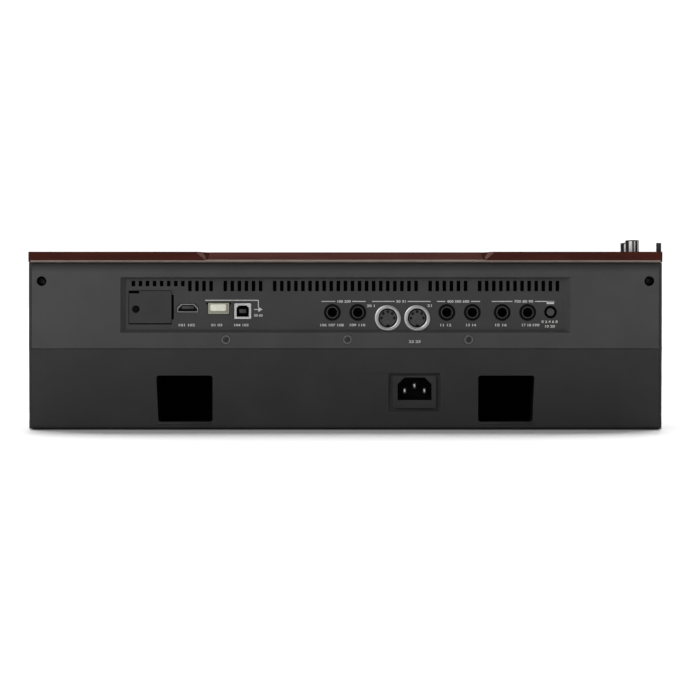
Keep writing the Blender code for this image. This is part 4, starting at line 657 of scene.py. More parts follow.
def surface(
    name,
    colour,
    roughness,
    metallic=0.0,
    coat=0.0,
    mottle=0.08,
    patch=0.03,
    grain=0.0005,
    depth=0.00001,
    gloss_spread=0.06,
    stretch=(1, 1, 1),
    specular=0.5,
):
    """A material with uneven colour, uneven gloss and a fine grain.

    patch and grain are sizes in metres, depth is the grain's height and stretch draws the grain out.
    """
    material = bpy.data.materials.new(name)
    material.use_nodes = True
    tree = material.node_tree
    shader = tree.nodes["Principled BSDF"]
    shader.inputs["Metallic"].default_value = metallic
    shader.inputs["Coat Weight"].default_value = coat
    shader.inputs["Specular IOR Level"].default_value = specular
    place = tree.nodes.new("ShaderNodeTexCoord")
    mapping = node_after(tree, "ShaderNodeMapping", place.outputs["Object"], "Vector")
    mapping.inputs["Scale"].default_value = stretch
    broad = noise(tree, mapping.outputs["Vector"], patch, BROAD_DETAIL)
    colours = two_tone(tree, broad.outputs["Fac"], shade(colour, 1 - mottle), shade(colour, 1 + mottle))
    tree.links.new(colours.outputs["Color"], shader.inputs["Base Color"])
    fine = noise(tree, mapping.outputs["Vector"], grain, FINE_DETAIL)
    gloss = spread(tree, fine.outputs["Fac"], roughness - gloss_spread, roughness + gloss_spread)
    tree.links.new(gloss.outputs["Result"], shader.inputs["Roughness"])
    bump = node_after(tree, "ShaderNodeBump", fine.outputs["Fac"], "Height")
    bump.inputs["Distance"].default_value = depth
    tree.links.new(bump.outputs["Normal"], shader.inputs["Normal"])
    finishes[name] = material


def colour_mix(name, axis, kind):
    """Put a mix between a finish's colour and its shader, and a node that reads an axis of the object."""
    tree = finishes[name].node_tree
    base = tree.nodes["Principled BSDF"].inputs["Base Color"]
    colour = base.links[0].from_socket
    place = tree.nodes.new("ShaderNodeTexCoord")
    split = node_after(tree, "ShaderNodeSeparateXYZ", place.outputs["Object"], "Vector")
    reader = node_after(tree, kind, split.outputs[axis], 0)
    mix = tree.nodes.new("ShaderNodeMix")
    mix.data_type = "RGBA"
    tree.links.new(colour, mix.inputs["A"])
    tree.links.new(mix.outputs["Result"], base)
    return tree, reader, mix


def add_feet_tone(name, colour, height):
    """Tint everything below a height, which is the rubber of the feet."""
    tree, is_low, mix = colour_mix(name, "Z", "ShaderNodeMath")
    is_low.operation = "LESS_THAN"
    is_low.inputs[1].default_value = height
    tree.links.new(is_low.outputs["Value"], mix.inputs["Factor"])
    mix.inputs["B"].default_value = (*colour, 1)


def add_tone(name, axis, places, tones):
    """Darken a finish smoothly from one place to another along an axis of the object."""
    tree, tone, mix = colour_mix(name, axis, "ShaderNodeMapRange")
    tone.inputs["From Min"].default_value, tone.inputs["From Max"].default_value = places
    tone.inputs["To Min"].default_value, tone.inputs["To Max"].default_value = tones
    mix.blend_type = "MULTIPLY"
    mix.inputs["Factor"].default_value = 1
    tree.links.new(tone.outputs["Result"], mix.inputs["B"])


def make_materials():
    """Every finish of the nodes, the pieces and the floor."""
    lacquer = {"mottle": 0.16, "patch": 0.006, "depth": 0.000006, "stretch": (0.12, 1, 1)}
    cast = {"mottle": 0.1, "patch": 0.003, "grain": 0.0002, "depth": 0.000004}
    plated = {"patch": 0.002, "grain": 0.0002, "depth": 0.000002}
    cloth = {"mottle": 0.3, "patch": 0.002, "gloss_spread": 0.04}
    small = {"mottle": 0.1, "patch": 0.002}
    pale = {"mottle": 0.05, "patch": 0.002}
    ink = {"mottle": 0.12, "patch": 0.0012, "depth": 0.000004}

    surface("deck_lacquer", (0.058, 0.0148, 0.0105), 0.55, grain=0.0006, specular=0.04, **lacquer)
    # Painted highlight: lighter copies of the deck lacquer for the scoop's slope and its end facets
    surface("scoop_highlight_lacquer", (0.088, 0.028, 0.022), 0.36, grain=0.0003, specular=0.12, **lacquer)
    surface(
        "facet_highlight_lacquer", (0.150, 0.070, 0.060), 0.3, mottle=0.15, patch=0.004, grain=0.0003, depth=0.000004
    )
    # Pale trim whose colour partly paints the highlight on the deck's lower chamfer
    surface("trim_highlight_plastic", (0.25, 0.195, 0.17), 0.5, mottle=0.1, patch=0.01, specular=0.2)
    surface("case_plastic", (0.026, 0.026, 0.027), 0.56, depth=0.000022, specular=0.35)
    surface("panel_plastic", grey(0.055), 0.55, depth=0.000022, specular=0.35)
    # The lower panel's darker grey is partly its own moulding and partly painted shade, for the lesser light
    # on its face
    surface("low_panel_plastic", grey(0.030), 0.56, depth=0.000022, specular=0.3)
    surface("cover_plastic", grey(0.038), 0.5, depth=0.000018, specular=0.3)
    surface("sill_plastic", grey(0.028), 0.45, specular=0.3)
    surface("black_plastic", (0.0045, 0.0045, 0.005), 0.42, mottle=0.2, patch=0.01)
    surface("socket_plastic", (0.0022, 0.0022, 0.0024), 0.55, mottle=0.2, patch=0.004, specular=0.08)
    surface("insert_plastic", (0.045, 0.045, 0.046), 0.5, mottle=0.15, patch=0.002)
    surface("cream_plastic", (0.33, 0.33, 0.25), 0.35, **pale)
    surface("pale_plastic", (0.86, 0.86, 0.74), 0.35, **pale)
    surface("grey_ring", grey(0.075), 0.4, **small)
    surface("gain_cap", grey(0.058), 0.45, **small)
    surface("button_cap", (0.13, 0.13, 0.135), 0.4, mottle=0.06, patch=0.01)
    surface("rubber", grey(0.009), 0.8, mottle=0.15, patch=0.004, depth=0.00003)

    surface("dark_shell", grey(0.30), 0.4, metallic=1.0, **cast)
    surface("cream_shell", (0.42, 0.42, 0.34), 0.35, metallic=0.4, **cast)
    surface("bright_nickel", grey(0.62), 0.28, metallic=1.0, mottle=0.05, **plated)
    surface("satin_nickel", grey(0.44), 0.36, metallic=1.0, mottle=0.06, **plated)
    # Painted reflection: near-white inlays for the reflection stripes on the knobs
    surface("reflection_stripe_inlay", grey(0.86), 0.4, metallic=0.1, mottle=0.05, **plated)
    surface("pin_nickel", grey(0.60), 0.38, metallic=1.0, mottle=0.06, **{**plated, "depth": 0.000003})
    # Painted highlight and shade: a paler zinc for the bright screws' rims and a darker core for their heads
    surface("shaded_screw_core", (0.042, 0.042, 0.044), 0.45, metallic=0.2, **small)
    surface("black_screw", (0.03, 0.03, 0.032), 0.4, metallic=0.6, mottle=0.2, patch=0.001)
    surface(
        "highlight_zinc_screw", (0.19, 0.19, 0.195), 0.4, metallic=0.2, mottle=0.12, patch=0.001, grain=0.0002,
        depth=0.000005,
    )
    surface("frame_steel", (0.30, 0.30, 0.31), 0.42, metallic=0.8, mottle=0.12, patch=0.02, grain=0.0006)

    surface(
        "ivory_key", (0.62, 0.61, 0.56), 0.2, coat=0.3, mottle=0.025, grain=0.004, depth=0.000008,
        gloss_spread=0.04,
    )
    surface(
        "satin_key", (0.008, 0.008, 0.009), 0.38, mottle=0.2, patch=0.02, grain=0.0004, depth=0.000014,
        stretch=(1, 0.15, 1),
    )
    surface(
        "board_green", (0.012, 0.085, 0.035), 0.35, coat=0.3, mottle=0.35, patch=0.004, grain=0.0008,
        depth=0.00002,
    )
    surface(
        "display_glass", (0.004, 0.0045, 0.006), 0.06, coat=0.6, mottle=0.1, patch=0.05, grain=0.01,
        depth=0.000002, gloss_spread=0.015,
    )
    surface("paper_cone", (0.02, 0.019, 0.018), 0.85, mottle=0.25, patch=0.003, grain=0.0006, depth=0.00005)
    # Painted shade: near-black foam for the screens behind the openings
    surface("shade_black_foam", grey(0.0015), 0.95, grain=0.0008, depth=0.0002, specular=0.05, **cloth)
    surface("dark_felt", grey(0.012), 0.95, grain=0.0004, depth=0.0001, specular=0.1, **cloth)
    surface("white_print", (0.60, 0.60, 0.59), 0.6, **ink)
    surface("grey_print", grey(0.10), 0.6, **ink)
    surface("red_led", (0.20, 0.010, 0.008), 0.15, coat=0.4, mottle=0.1, patch=0.001)
    surface("pale_floor", grey(0.69), 0.7, mottle=0.01, patch=0.3, specular=0.2)

    add_feet_tone("case_plastic", grey(0.008), FLOOR_BOTTOM - LIFT)
    field_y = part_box("rear_panel")[1].y - FIELD_DEPTH + LIFT
    # Painted shade: the upper panel darkens towards its top, under the deck's overhang
    add_tone("panel_plastic", "Z", PAINTED_SHADE_Z, (1.0, PAINTED_SHADE_TONE))
    # Painted shade: the sunk connector field and everything deeper is darker
    add_tone("panel_plastic", "Y", (field_y, field_y + LIFT), (FIELD_SHADE_TONE, 1.0))


def dress_nodes():
    """Give every node of the model its finish and softened edges."""
    for name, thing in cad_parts.items():
        finish, soften = next(row[1:] for row in NODE_FINISHES if name.startswith(row[0]))
        thing.data.materials.clear()
        thing.data.materials.append(finishes[finish])
        weld = thing.modifiers.new("weld", "WELD")
        weld.merge_threshold = HAIR
        bevel = thing.modifiers.new("soft_edges", "BEVEL")
        bevel.width = soften
        bevel.segments = EDGE_STEPS
        bevel.limit_method = "ANGLE"
        bevel.angle_limit = SHARP_ANGLE
        bevel.harden_normals = True


def inner_screens():
    """Near-black foam screens behind the vents, the cover and the ports, which paint the deep shade seen
    through them, and a felt under the keys' front.
    """
    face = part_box("rear_panel")[1].y - FIELD_BACK - LIFT
    screen_y = (face - SCREEN_THICK, face)
    piece("vent_shade_screen", block(VENT_SCREEN_X, screen_y, VENT_SCREEN_Z), HERE, "shade_black_foam")
    low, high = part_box("service_cover")
    span = (low.x - COVER_SCREEN_LEFT, high.x + COVER_SCREEN_RIGHT)
    piece("cover_shade_screen", block(span, screen_y, COVER_SCREEN_Z), HERE, "shade_black_foam")
    for side in ("left", "right"):
        low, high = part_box(f"port_{side}")
        foam = block(
            (low.x + PORT_WALL, high.x - PORT_WALL),
            (low.y + LIFT, low.y + FOAM_THICK),
            (low.z + PORT_WALL, high.z - PORT_WALL),
        )
        piece(f"port_shade_foam_{side}", foam, HERE, "shade_black_foam")
    low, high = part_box("key_frame")
    piece("front_felt", block((low.x, high.x), FELT_Y, FELT_Z), HERE, "dark_felt")


def lower_face(z_range):
    """Y of the lower rear panel's surface in the middle of a range of heights."""
    low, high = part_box("lower_rear_panel")
    return high.y - LOWER_LEAN * (high.z - sum(z_range) / 2) / (high.z - low.z)


def panel_sills():
    """Filled seams beside the rear panels, a lip under each port and a sill under the inlet."""
    upper_low, upper_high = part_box("rear_panel")
    lower_low, lower_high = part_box("lower_rear_panel")
    back = lower_low.y - SEAM_BACK
    outline = [
        (back, lower_low.z),
        (lower_high.y - LOWER_LEAN - SEAM_SETBACK, lower_low.z),
        (lower_high.y - SEAM_SETBACK, lower_high.z),
        (upper_high.y - SEAM_SETBACK, lower_high.z),
        (upper_high.y - SEAM_SETBACK, upper_high.z),
        (back, upper_high.z),
    ]
    seams = (("left", upper_low.x - SEAM_WIDTH, "case_plastic"), ("right", upper_high.x, "sill_plastic"))
    for side, x, finish in seams:
        piece(f"panel_seam_{side}", drawn(outline, x, x + SEAM_WIDTH), ALONG_X, finish)
    lip_y = about(lower_face(PORT_LIP_Z), PORT_LIP_Y)
    for side in ("left", "right"):
        low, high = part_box(f"port_{side}")
        lip = block((low.x + PORT_LIP_SIDE, high.x - PORT_LIP_SIDE), lip_y, PORT_LIP_Z)
        piece(f"port_lip_{side}", lip, HERE, "sill_plastic")
    span = about(middle("ac_inlet").x, (-INLET_SILL_HALF, INLET_SILL_HALF))
    sill = block(span, about(lower_face(INLET_SILL_Z), INLET_SILL_Y), INLET_SILL_Z)
    piece("inlet_sill", sill, HERE, "sill_plastic")


def deck_trim_highlight():
    """A pale moulding along the lower rear edge of the deck; its pale colour partly paints the highlight that
    the deck's lower chamfer catches.
    """
    low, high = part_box("top_deck")
    under = high.z - DECK_THICK
    top = under + DECK_CHAMFER
    rear = high.y
    profile = [
        (rear, top - TRIM_FACE),
        (rear, top - 2 * TRIM_FACE),
        (rear - DECK_CHAMFER + TRIM_FACE, under - TRIM_DROP),
        (rear - TRIM_ROOT, under - TRIM_DROP),
        (rear - TRIM_ROOT, under + DECK_CHAMFER / 2),
        (rear - DECK_CHAMFER / 2, top),
    ]
    strip = drawn(profile, low.x + DECK_CHAMFER, high.x - DECK_CHAMFER)
    piece("deck_trim_highlight", strip, ALONG_X, "trim_highlight_plastic")


def plate(corners, toward):
    """A thin plate over the corners of a flat face, on the side that a direction points to."""
    normal = (corners[1] - corners[0]).cross(corners[2] - corners[0]).normalized()
    if normal.dot(toward) < 0:
        normal = -normal
    shape = bmesh.new()
    base = [shape.verts.new(corner + normal * HAIR) for corner in corners]
    face = [shape.verts.new(corner + normal * PLATE_THICK) for corner in corners]
    shape.faces.new(base)
    shape.faces.new(face)
    band(shape, base, face)
    return shape


def scoop_highlight_plates():
    """Lighter plates that paint highlights on the deck's scoop: a sheet on its slope, and a strip on the
    slanted face at each end.
    """
    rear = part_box("top_deck")[1]
    inner_y = rear.y - SCOOP_DEPTH
    inner_z = deck_at(inner_y)[0]
    under = rear.z - DECK_THICK
    seams = []
    for name, side in (("left", 1), ("right", -1)):
        top = Vector((side * SCOOP_HALF_TOP, rear.y, rear.z))
        bottom = Vector((side * SCOOP_HALF_LOW, rear.y, under))
        inner = Vector((side * SCOOP_HALF_INNER, inner_y, inner_z))
        seams.append((bottom.lerp(inner, DECK_CHAMFER / (inner_z - under)), inner))
        low = bottom.lerp(top, DECK_CHAMFER / DECK_THICK)
        corners = [top, low, low.lerp(inner, FACET_WIDTHS[1]), top.lerp(inner, FACET_WIDTHS[0])]
        strip = plate(corners, Vector((-side, 0, 0)))
        piece(f"scoop_highlight_facet_{name}", strip, HERE, "facet_highlight_lacquer")
    corners = [seams[0][0], seams[0][1], seams[1][1], seams[1][0]]
    piece("scoop_highlight_sheet", plate(corners, Vector((0, 1, 1))), HERE, "scoop_highlight_lacquer")


def jack_trims():
    """A grey ring round each jack's bore and a dark sleeve inside it."""
    half_rim = JACK_RING_RIM / 2
    profile = [
        (JACK_RING_INNER, -JACK_RING_RIM),
        (JACK_RING_INNER, half_rim),
        (JACK_RING_INNER + half_rim, JACK_RING_RIM),
        (JACK_RING_OUTER - half_rim, JACK_RING_RIM),
        (JACK_RING_OUTER, half_rim),
        (JACK_RING_OUTER, -JACK_RING_RIM),
    ]
    end = JACK_SLEEVE_START - JACK_SLEEVE_LENGTH
    for number in range(1, JACK_COUNT + 1):
        place = rear_face(f"jack_socket_{number}")
        piece(f"jack_ring_{number}", lathe(profile), place, "grey_ring")
        lining = sleeve(JACK_BORE_RADIUS - LIFT, JACK_SLEEVE_WALL, JACK_SLEEVE_START, end)
        piece(f"jack_sleeve_{number}", lining, place, "socket_plastic")


def midi_trims():
    """A bright ring, a dark ring that paints the shade of the gap round the insert, the contact sleeves and
    the keyway of each five-pin socket.
    """
    floor = -MIDI_INSERT_SETBACK
    half_lip = MIDI_LIP / 2
    third_lip = MIDI_LIP / 3
    ring = [
        (MIDI_OPENING_RADIUS - third_lip, floor + LIFT),
        (MIDI_OPENING_RADIUS - third_lip, half_lip),
        (MIDI_OPENING_RADIUS + half_lip, MIDI_LIP),
        (MIDI_RADIUS - MIDI_LIP, MIDI_LIP),
        (MIDI_RADIUS + LIFT, half_lip),
        (MIDI_RADIUS + LIFT, -half_lip),
        (MIDI_OPENING_RADIUS + half_lip, -half_lip),
    ]
    edge = [
        (MIDI_EDGE_RADIUS, floor - LIFT),
        (MIDI_EDGE_RADIUS + third_lip, floor + half_lip),
        (MIDI_OPENING_RADIUS - LIFT, floor + half_lip),
        (MIDI_OPENING_RADIUS - LIFT, floor - LIFT),
    ]
    half_round = arc((0, -MIDI_EDGE_RADIUS), MIDI_KEYWAY_RADIUS, 0, math.pi, MIDI_KEYWAY_STEPS)
    for number in range(1, MIDI_COUNT + 1):
        place = rear_face(f"midi_socket_{number}")
        piece(f"midi_ring_{number}", lathe(ring), place, "satin_nickel")
        # Painted shade: a dark ring where the gap round the insert lies in shade
        piece(f"midi_gap_shade_{number}", lathe(edge), place, "socket_plastic")
        sleeves = []
        for x, y in arc((0, 0), MIDI_PIN_CIRCLE, 0, math.pi, MIDI_PIN_COUNT - 1):
            top = floor + MIDI_PIN_RISE
            pin = sleeve(MIDI_PIN_RADIUS - LIFT, MIDI_PIN_WALL, top, floor - MIDI_PIN_DEPTH, PIN_STEPS)
            sleeves.append(moved(pin, Matrix.Translation((x, y, 0))))
        piece(f"midi_contacts_{number}", joined(sleeves), place, "socket_plastic")
        keyway = drawn(half_round, floor - LIFT, floor + MIDI_KEYWAY_RISE, FINE_SOFT)
        piece(f"midi_key_{number}", keyway, place, "socket_plastic")


def liner(width, height, chamfer, depth, floor):
    """Walls and floor that line a mouth with two cut corners."""
    width -= 2 * LIFT
    height -= 2 * LIFT
    wall = 2 * LINER_WALL
    outer = cut_corners(width, height, chamfer)
    inner = cut_corners(width - wall, height - wall, chamfer)
    deep = LIFT - depth
    return joined([tube(outer, inner, deep, -LINER_WALL), drawn(inner, deep, deep + floor)])


def socket_liners():
    """Thin dark linings of two data sockets' mouths."""
    rows = (
        ("hdmi", HDMI_SHELL, HDMI_CHAMFER, HDMI_CAVITY, "insert_plastic"),
        ("usb_device", DEVICE_SHELL, DEVICE_CHAMFER, DEVICE_CAVITY, "socket_plastic"),
    )
    for name, shell, chamfer, depth, finish in rows:
        node = f"{name}_socket"
        extent = size(node)
        lining = liner(extent.x - 2 * shell, extent.z - 2 * shell, chamfer, depth, LINER_WALL - LIFT)
        piece(f"{name}_liner", lining, rear_face(node), finish)


def tongue_skin(width, height, depth):
    """A softened plastic skin over a socket's tongue."""
    skin = 2 * COVER_SKIN
    outline = rounded((0, 0), width + skin, height + skin, TONGUE_CORNER, TINY_CORNER_STEPS)
    return drawn(outline, -depth, COVER_SKIN - TONGUE_SETBACK, FINE_SOFT)


def socket_tongues():
    """Skins and contacts on two data sockets' tongues, and a pale plug with latches in the third socket."""
    place = rear_face("hdmi_socket", up=HDMI_TONGUE_RISE)
    skin = tongue_skin(HDMI_TONGUE_WIDTH, HDMI_TONGUE_HEIGHT, HDMI_CAVITY)
    piece("hdmi_tongue_skin", skin, place, "insert_plastic")
    contacts = []
    pitch = HDMI_TONGUE_WIDTH / (HDMI_CONTACTS + 1)
    low = -HDMI_TONGUE_HEIGHT / 2 - COVER_SKIN
    end = COVER_SKIN - TONGUE_SETBACK - CONTACT_SETBACK
    for index in range(HDMI_CONTACTS):
        x = (index - (HDMI_CONTACTS - 1) / 2) * pitch
        contacts.append(drawn(rectangle((x, low), pitch / 2, CONTACT_THICK), -HDMI_CAVITY, end, CONTACT_SOFT))
    piece("hdmi_contacts", joined(contacts), place, "grey_ring")

    place = rear_face("usb_host_socket")
    extent = size("usb_host_socket")
    width = extent.x - 2 * LIFT
    height = extent.z - 2 * LIFT
    base = rounded((0, 0), width - 2 * HOST_SHELL, height - 2 * HOST_SHELL, PLUG_CORNER)
    piece("usb_host_plug_1", drawn(base, *PLUG_Y, FINE_SOFT), place, "cream_plastic")
    face = rounded(PLUG_FACE_CENTRE, width - PLUG_FACE_SIDES, height * PLUG_FACE_SHARE, PLUG_FACE_CORNER)
    piece("usb_host_plug_2", drawn(face, *PLUG_FACE_Y, FINE_SOFT), place, "pale_plastic")
    latches = []
    for side in (-1, 1):
        spot = (side * (extent.x / 2 + HOST_LATCH / 2), extent.z / 2 - HOST_LATCH / 4)
        latches.append(drawn(rectangle(spot, HOST_LATCH, HOST_LATCH), *HOST_LATCH_Y, THIN_SOFT))
    piece("usb_host_latches", joined(latches), place, "socket_plastic")

    skin = tongue_skin(DEVICE_TONGUE_WIDTH, DEVICE_TONGUE_HEIGHT, DEVICE_CAVITY)
    piece("usb_device_tongue_skin", skin, rear_face("usb_device_socket"), "insert_plastic")


def gain_collar():
    """A black collar in the hole round the small recessed knob."""
    outer = GAIN_HOLE_RADIUS - LIFT
    low, mouth, bevel, top = GAIN_COLLAR_LEVELS
    profile = [
        (GAIN_COLLAR_INNER, low),
        (GAIN_COLLAR_INNER, mouth),
        (outer - GAIN_COLLAR_BEVEL, bevel),
        (outer, top),
        (outer, low),
    ]
    piece("gain_collar", lathe(profile), rear_face("gain_knob"), "socket_plastic")


def inlet_pins():
    """A dark lining of the inlet's mouth, and metal skins with tapered ends on its three pins."""
    lining = liner(
        INLET_CAVITY_WIDTH, INLET_CAVITY_HEIGHT, INLET_CAVITY_CHAMFER, INLET_CAVITY_DEPTH, LINER_WALL
    )
    piece("inlet_liner", lining, rear_face("ac_inlet", up=INLET_CAVITY_RISE), "socket_plastic")
    skin = 2 * COVER_SKIN
    outline = rounded((0, 0), INLET_PIN_WIDTH + skin, INLET_PIN_HEIGHT + skin, INLET_PIN_CORNER)
    tip = COVER_SKIN - INLET_PIN_SETBACK
    levels = (
        (-INLET_CAVITY_DEPTH, 1),
        (tip - INLET_PIN_TAPER, 1),
        (tip - INLET_PIN_TAPER / 4, (1 + INLET_PIN_TIP) / 2),
        (tip, INLET_PIN_TIP),
    )
    half = INLET_PIN_SPACING / 2
    up = INLET_CAVITY_RISE - INLET_PIN_DROP
    spots = (("line", half, up), ("neutral", -half, up), ("earth", 0, up + INLET_EARTH_RISE))
    for name, across, rise in spots:
        place = rear_face("ac_inlet", across, rise)
        piece(f"inlet_{name}_pin", tapered(outline, levels), place, "pin_nickel")


def cross_recess(arm, half_width):
    """Outline points of a cross-shaped recess, one arm to each side."""
    points = []
    for turn in range(4):
        angle = turn * QUARTER
        for across, along in ((half_width, half_width), (half_width, arm), (-half_width, arm)):
            x = across * math.cos(angle) - along * math.sin(angle)
            y = across * math.sin(angle) + along * math.cos(angle)
            points.append((x, y))
    return points


def screw_head(radius, height, cross_width=CROSS_WIDTH):
    """A domed screw head with a cross in it, standing on local Z = 0."""
    rim = height * HEAD_EDGE
    outline = circle(radius, SMALL_STEPS)
    cross = cross_recess(radius * CROSS_ARM, radius * cross_width)
    shape = bmesh.new()
    low = loop(shape, outline, 0)
    edge = loop(shape, outline, rim)
    crown = loop(shape, circle(radius * HEAD_CROWN, SMALL_STEPS), rim + (height - rim) * HEAD_DOME)
    mouth = loop(shape, cross, height)
    pit = loop(shape, cross, height * PIT_FLOOR, PIT_TAPER)
    shape.faces.new(low[::-1])
    band(shape, low, edge)
    band(shape, edge, crown)
    band(shape, mouth, pit)
    shape.faces.new(pit)
    edges = []
    for ring in (crown, mouth):
        for first, second in zip(ring, ring[1:] + ring[:1]):
            edges.append(shape.edges.get((first, second)))
    bmesh.ops.bridge_loops(shape, edges=edges)
    return shape


def bright_screws():
    """The three bright screws under the connector field, each head a paler rim and a darker core: a painted
    highlight on the rim and painted shade on the core.
    """
    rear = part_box("rear_panel")[1].y
    height = BRIGHT_SCREW_DEPTH - BRIGHT_SCREW_SUNK
    inner = BRIGHT_SCREW_RADIUS * SCREW_RIM
    rim = [
        (BRIGHT_SCREW_RADIUS, LIFT),
        (BRIGHT_SCREW_RADIUS, height * SCREW_RIM_EDGE),
        (BRIGHT_SCREW_RADIUS * SCREW_RIM_TOP, height),
        (inner, height),
        (inner, LIFT),
    ]
    for number, x in enumerate(BRIGHT_SCREW_X, start=1):
        place = facing_rear(x, rear - BRIGHT_SCREW_DEPTH + LIFT, BRIGHT_SCREW_Z)
        piece(f"screw_rim_{number}", lathe(rim, SMALL_STEPS), place, "highlight_zinc_screw")
        head = screw_head(inner - LIFT, height * SCREW_RIM_TOP, BRIGHT_SCREW_CROSS)
        piece(f"bright_screw_{number}", head, place, "shaded_screw_core")


def deep_screws():
    """The two dark screws at the ends of the upper panel, each in a dark hole."""
    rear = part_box("rear_panel")[1].y
    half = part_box("bottom_case")[1].x
    for number, side in enumerate((1, -1), start=1):
        x = side * (half - DEEP_SCREW_FROM_SIDE)
        place = facing_rear(x, rear - DEEP_SCREW_DEPTH + LIFT, DEEP_SCREW_Z)
        head = screw_head(DEEP_SCREW_RADIUS, DEEP_SCREW_HEIGHT)
        piece(f"deep_screw_{number}", head, place, "black_screw")
        front = DEEP_SCREW_DEPTH - DEEP_SLEEVE_SETBACK
        lining = sleeve(DEEP_SCREW_HOLE - LIFT, LINER_WALL, LIFT, front)
        piece(f"deep_sleeve_{number}", lining, place, "socket_plastic")


def cover_fittings():
    """The service cover's screw with its washer, and a dark strip under the cover that paints the shadow line
    below it.
    """
    low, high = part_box("service_cover")
    z = (low.z + high.z) / 2 - COVER_SCREW_DOWN
    place = facing_rear(high.x - COVER_SCREW_IN, high.y - COVER_SCREW_DEPTH + LIFT, z)
    head = screw_head(COVER_SCREW_RADIUS, COVER_SCREW_DEPTH)
    piece("cover_screw", head, place, "socket_plastic")
    base = COVER_SCREW_DEPTH - LIFT
    top = COVER_SCREW_DEPTH + COVER_WASHER_RISE
    washer = [
        (COVER_SCREW_RADIUS, base),
        (COVER_SCREW_RADIUS, top),
        (COVER_WASHER_RADIUS - COVER_WASHER_BEVEL, top),
        (COVER_WASHER_RADIUS, base),
    ]
    piece("cover_washer", lathe(washer), place, "socket_plastic")
    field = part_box("rear_panel")[1].y - FIELD_DEPTH
    shadow_line_y = (field + HAIR, field + COVER_SHADOW_RISE)
    # Painted shadow: a dark strip for the shadow line under the cover
    seam = block((low.x, high.x), shadow_line_y, about(low.z, COVER_SHADOW_Z))
    piece("cover_shadow_line", seam, HERE, "socket_plastic")


def floor_screws():
    """The screws of the case's floor."""
    low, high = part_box("bottom_case")
    spots = [(across, along) for across in FLOOR_SCREW_ACROSS for along in FLOOR_SCREW_ALONG]
    for number, (across, along) in enumerate(spots, start=1):
        place = facing_down(across * high.x, low.y + along * (high.y - low.y), FLOOR_BOTTOM + LIFT)
        head = screw_head(FLOOR_SCREW_RADIUS, FLOOR_SCREW_HEIGHT)
        piece(f"floor_screw_{number:02d}", head, place, "black_screw")


def bar(x, y, width, height):
    """A thin printed bar about a point."""
    return drawn(rectangle((x, y), width, height), 0, PRINT_THICK)


def label(digits, width):
    """Digits as a thin flat shape about the origin, stretched to a width."""
    data = bpy.data.curves.new("digits", "FONT")
    data.body = digits
    data.size = PRINT_HEIGHT / DIGIT_SHARE
    data.align_x = "CENTER"
    data.align_y = "CENTER"
    data.extrude = PRINT_THICK / 2
    data.offset = PRINT_BOLD
    data.resolution_u = DIGIT_STEPS
    thing = in_scene("digits", data)
    shape = bmesh.new()
    shape.from_mesh(thing.to_mesh())
    thing.to_mesh_clear()
    bpy.data.objects.remove(thing)
    bpy.data.curves.remove(data)
    bmesh.ops.remove_doubles(shape, verts=shape.verts, dist=SAME_POINT)
    across = [vert.co.x for vert in shape.verts]
    upright = [vert.co.y for vert in shape.verts]
    lift = (min(upright) + max(upright)) / 2
    shape.transform(Matrix.Translation((0, -lift, PRINT_THICK / 2)))
    return moved(shape, Matrix.Diagonal((width / (max(across) - min(across)), 1, 1, 1)))


def field_prints():
    """Brackets, plain numbers and thin dashes printed on the connector field, and numbers over the inlet."""
    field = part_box("service_cover")[1].y + HAIR

    def at(shape, x, z):
        return moved(shape, facing_rear(x, field, z))

    def dash(start, end, z):
        return at(bar(0, 0, start - end, PRINT_LINE), (start + end) / 2, z)

    shapes = []
    for digits, left, label_x, width, right in BRACKETS:
        space = width / 2 + BRACKET_SPACE
        shapes.append(dash(left, label_x + space, BRACKET_Z))
        shapes.append(dash(label_x - space, right, BRACKET_Z))
        shapes.append(at(label(digits, width), label_x, BRACKET_Z))
    x, z, width, height = GAIN_BAR
    shapes.append(at(bar(0, 0, width, height), x, z))
    piece("bracket_prints", joined(shapes), HERE, "white_print")

    shapes = [at(label(digits, width), x, z) for digits, x, z, width in LABELS]
    piece("number_prints", joined(shapes), HERE, "white_print")

    start, end = DATA_BRACKET
    half = DATA_ARROW_HALF
    tip = half * DATA_ARROW_SLIM
    stem = bar(0, 0, PRINT_LINE, DATA_BRACKET_Z - DATA_STEM_LOW)
    shapes = [
        dash(start, end, DATA_BRACKET_Z),
        at(stem, end, (DATA_BRACKET_Z + DATA_STEM_LOW) / 2),
        at(bar(-half / 2, 0, half, PRINT_LINE), end, DATA_ARROW_Z),
        at(drawn([(0, -tip), (half, 0), (0, tip)], 0, PRINT_THICK), end, DATA_ARROW_Z),
        at(label(DATA_LABEL, 2 * half), end, DATA_LABEL_Z),
    ]
    piece("data_prints", joined(shapes), HERE, "white_print")

    digits, x, z, width = INLET_LABEL
    place = facing_rear(x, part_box("rear_panel")[1].y + HAIR, z)
    piece("inlet_print", label(digits, width), place, "white_print")


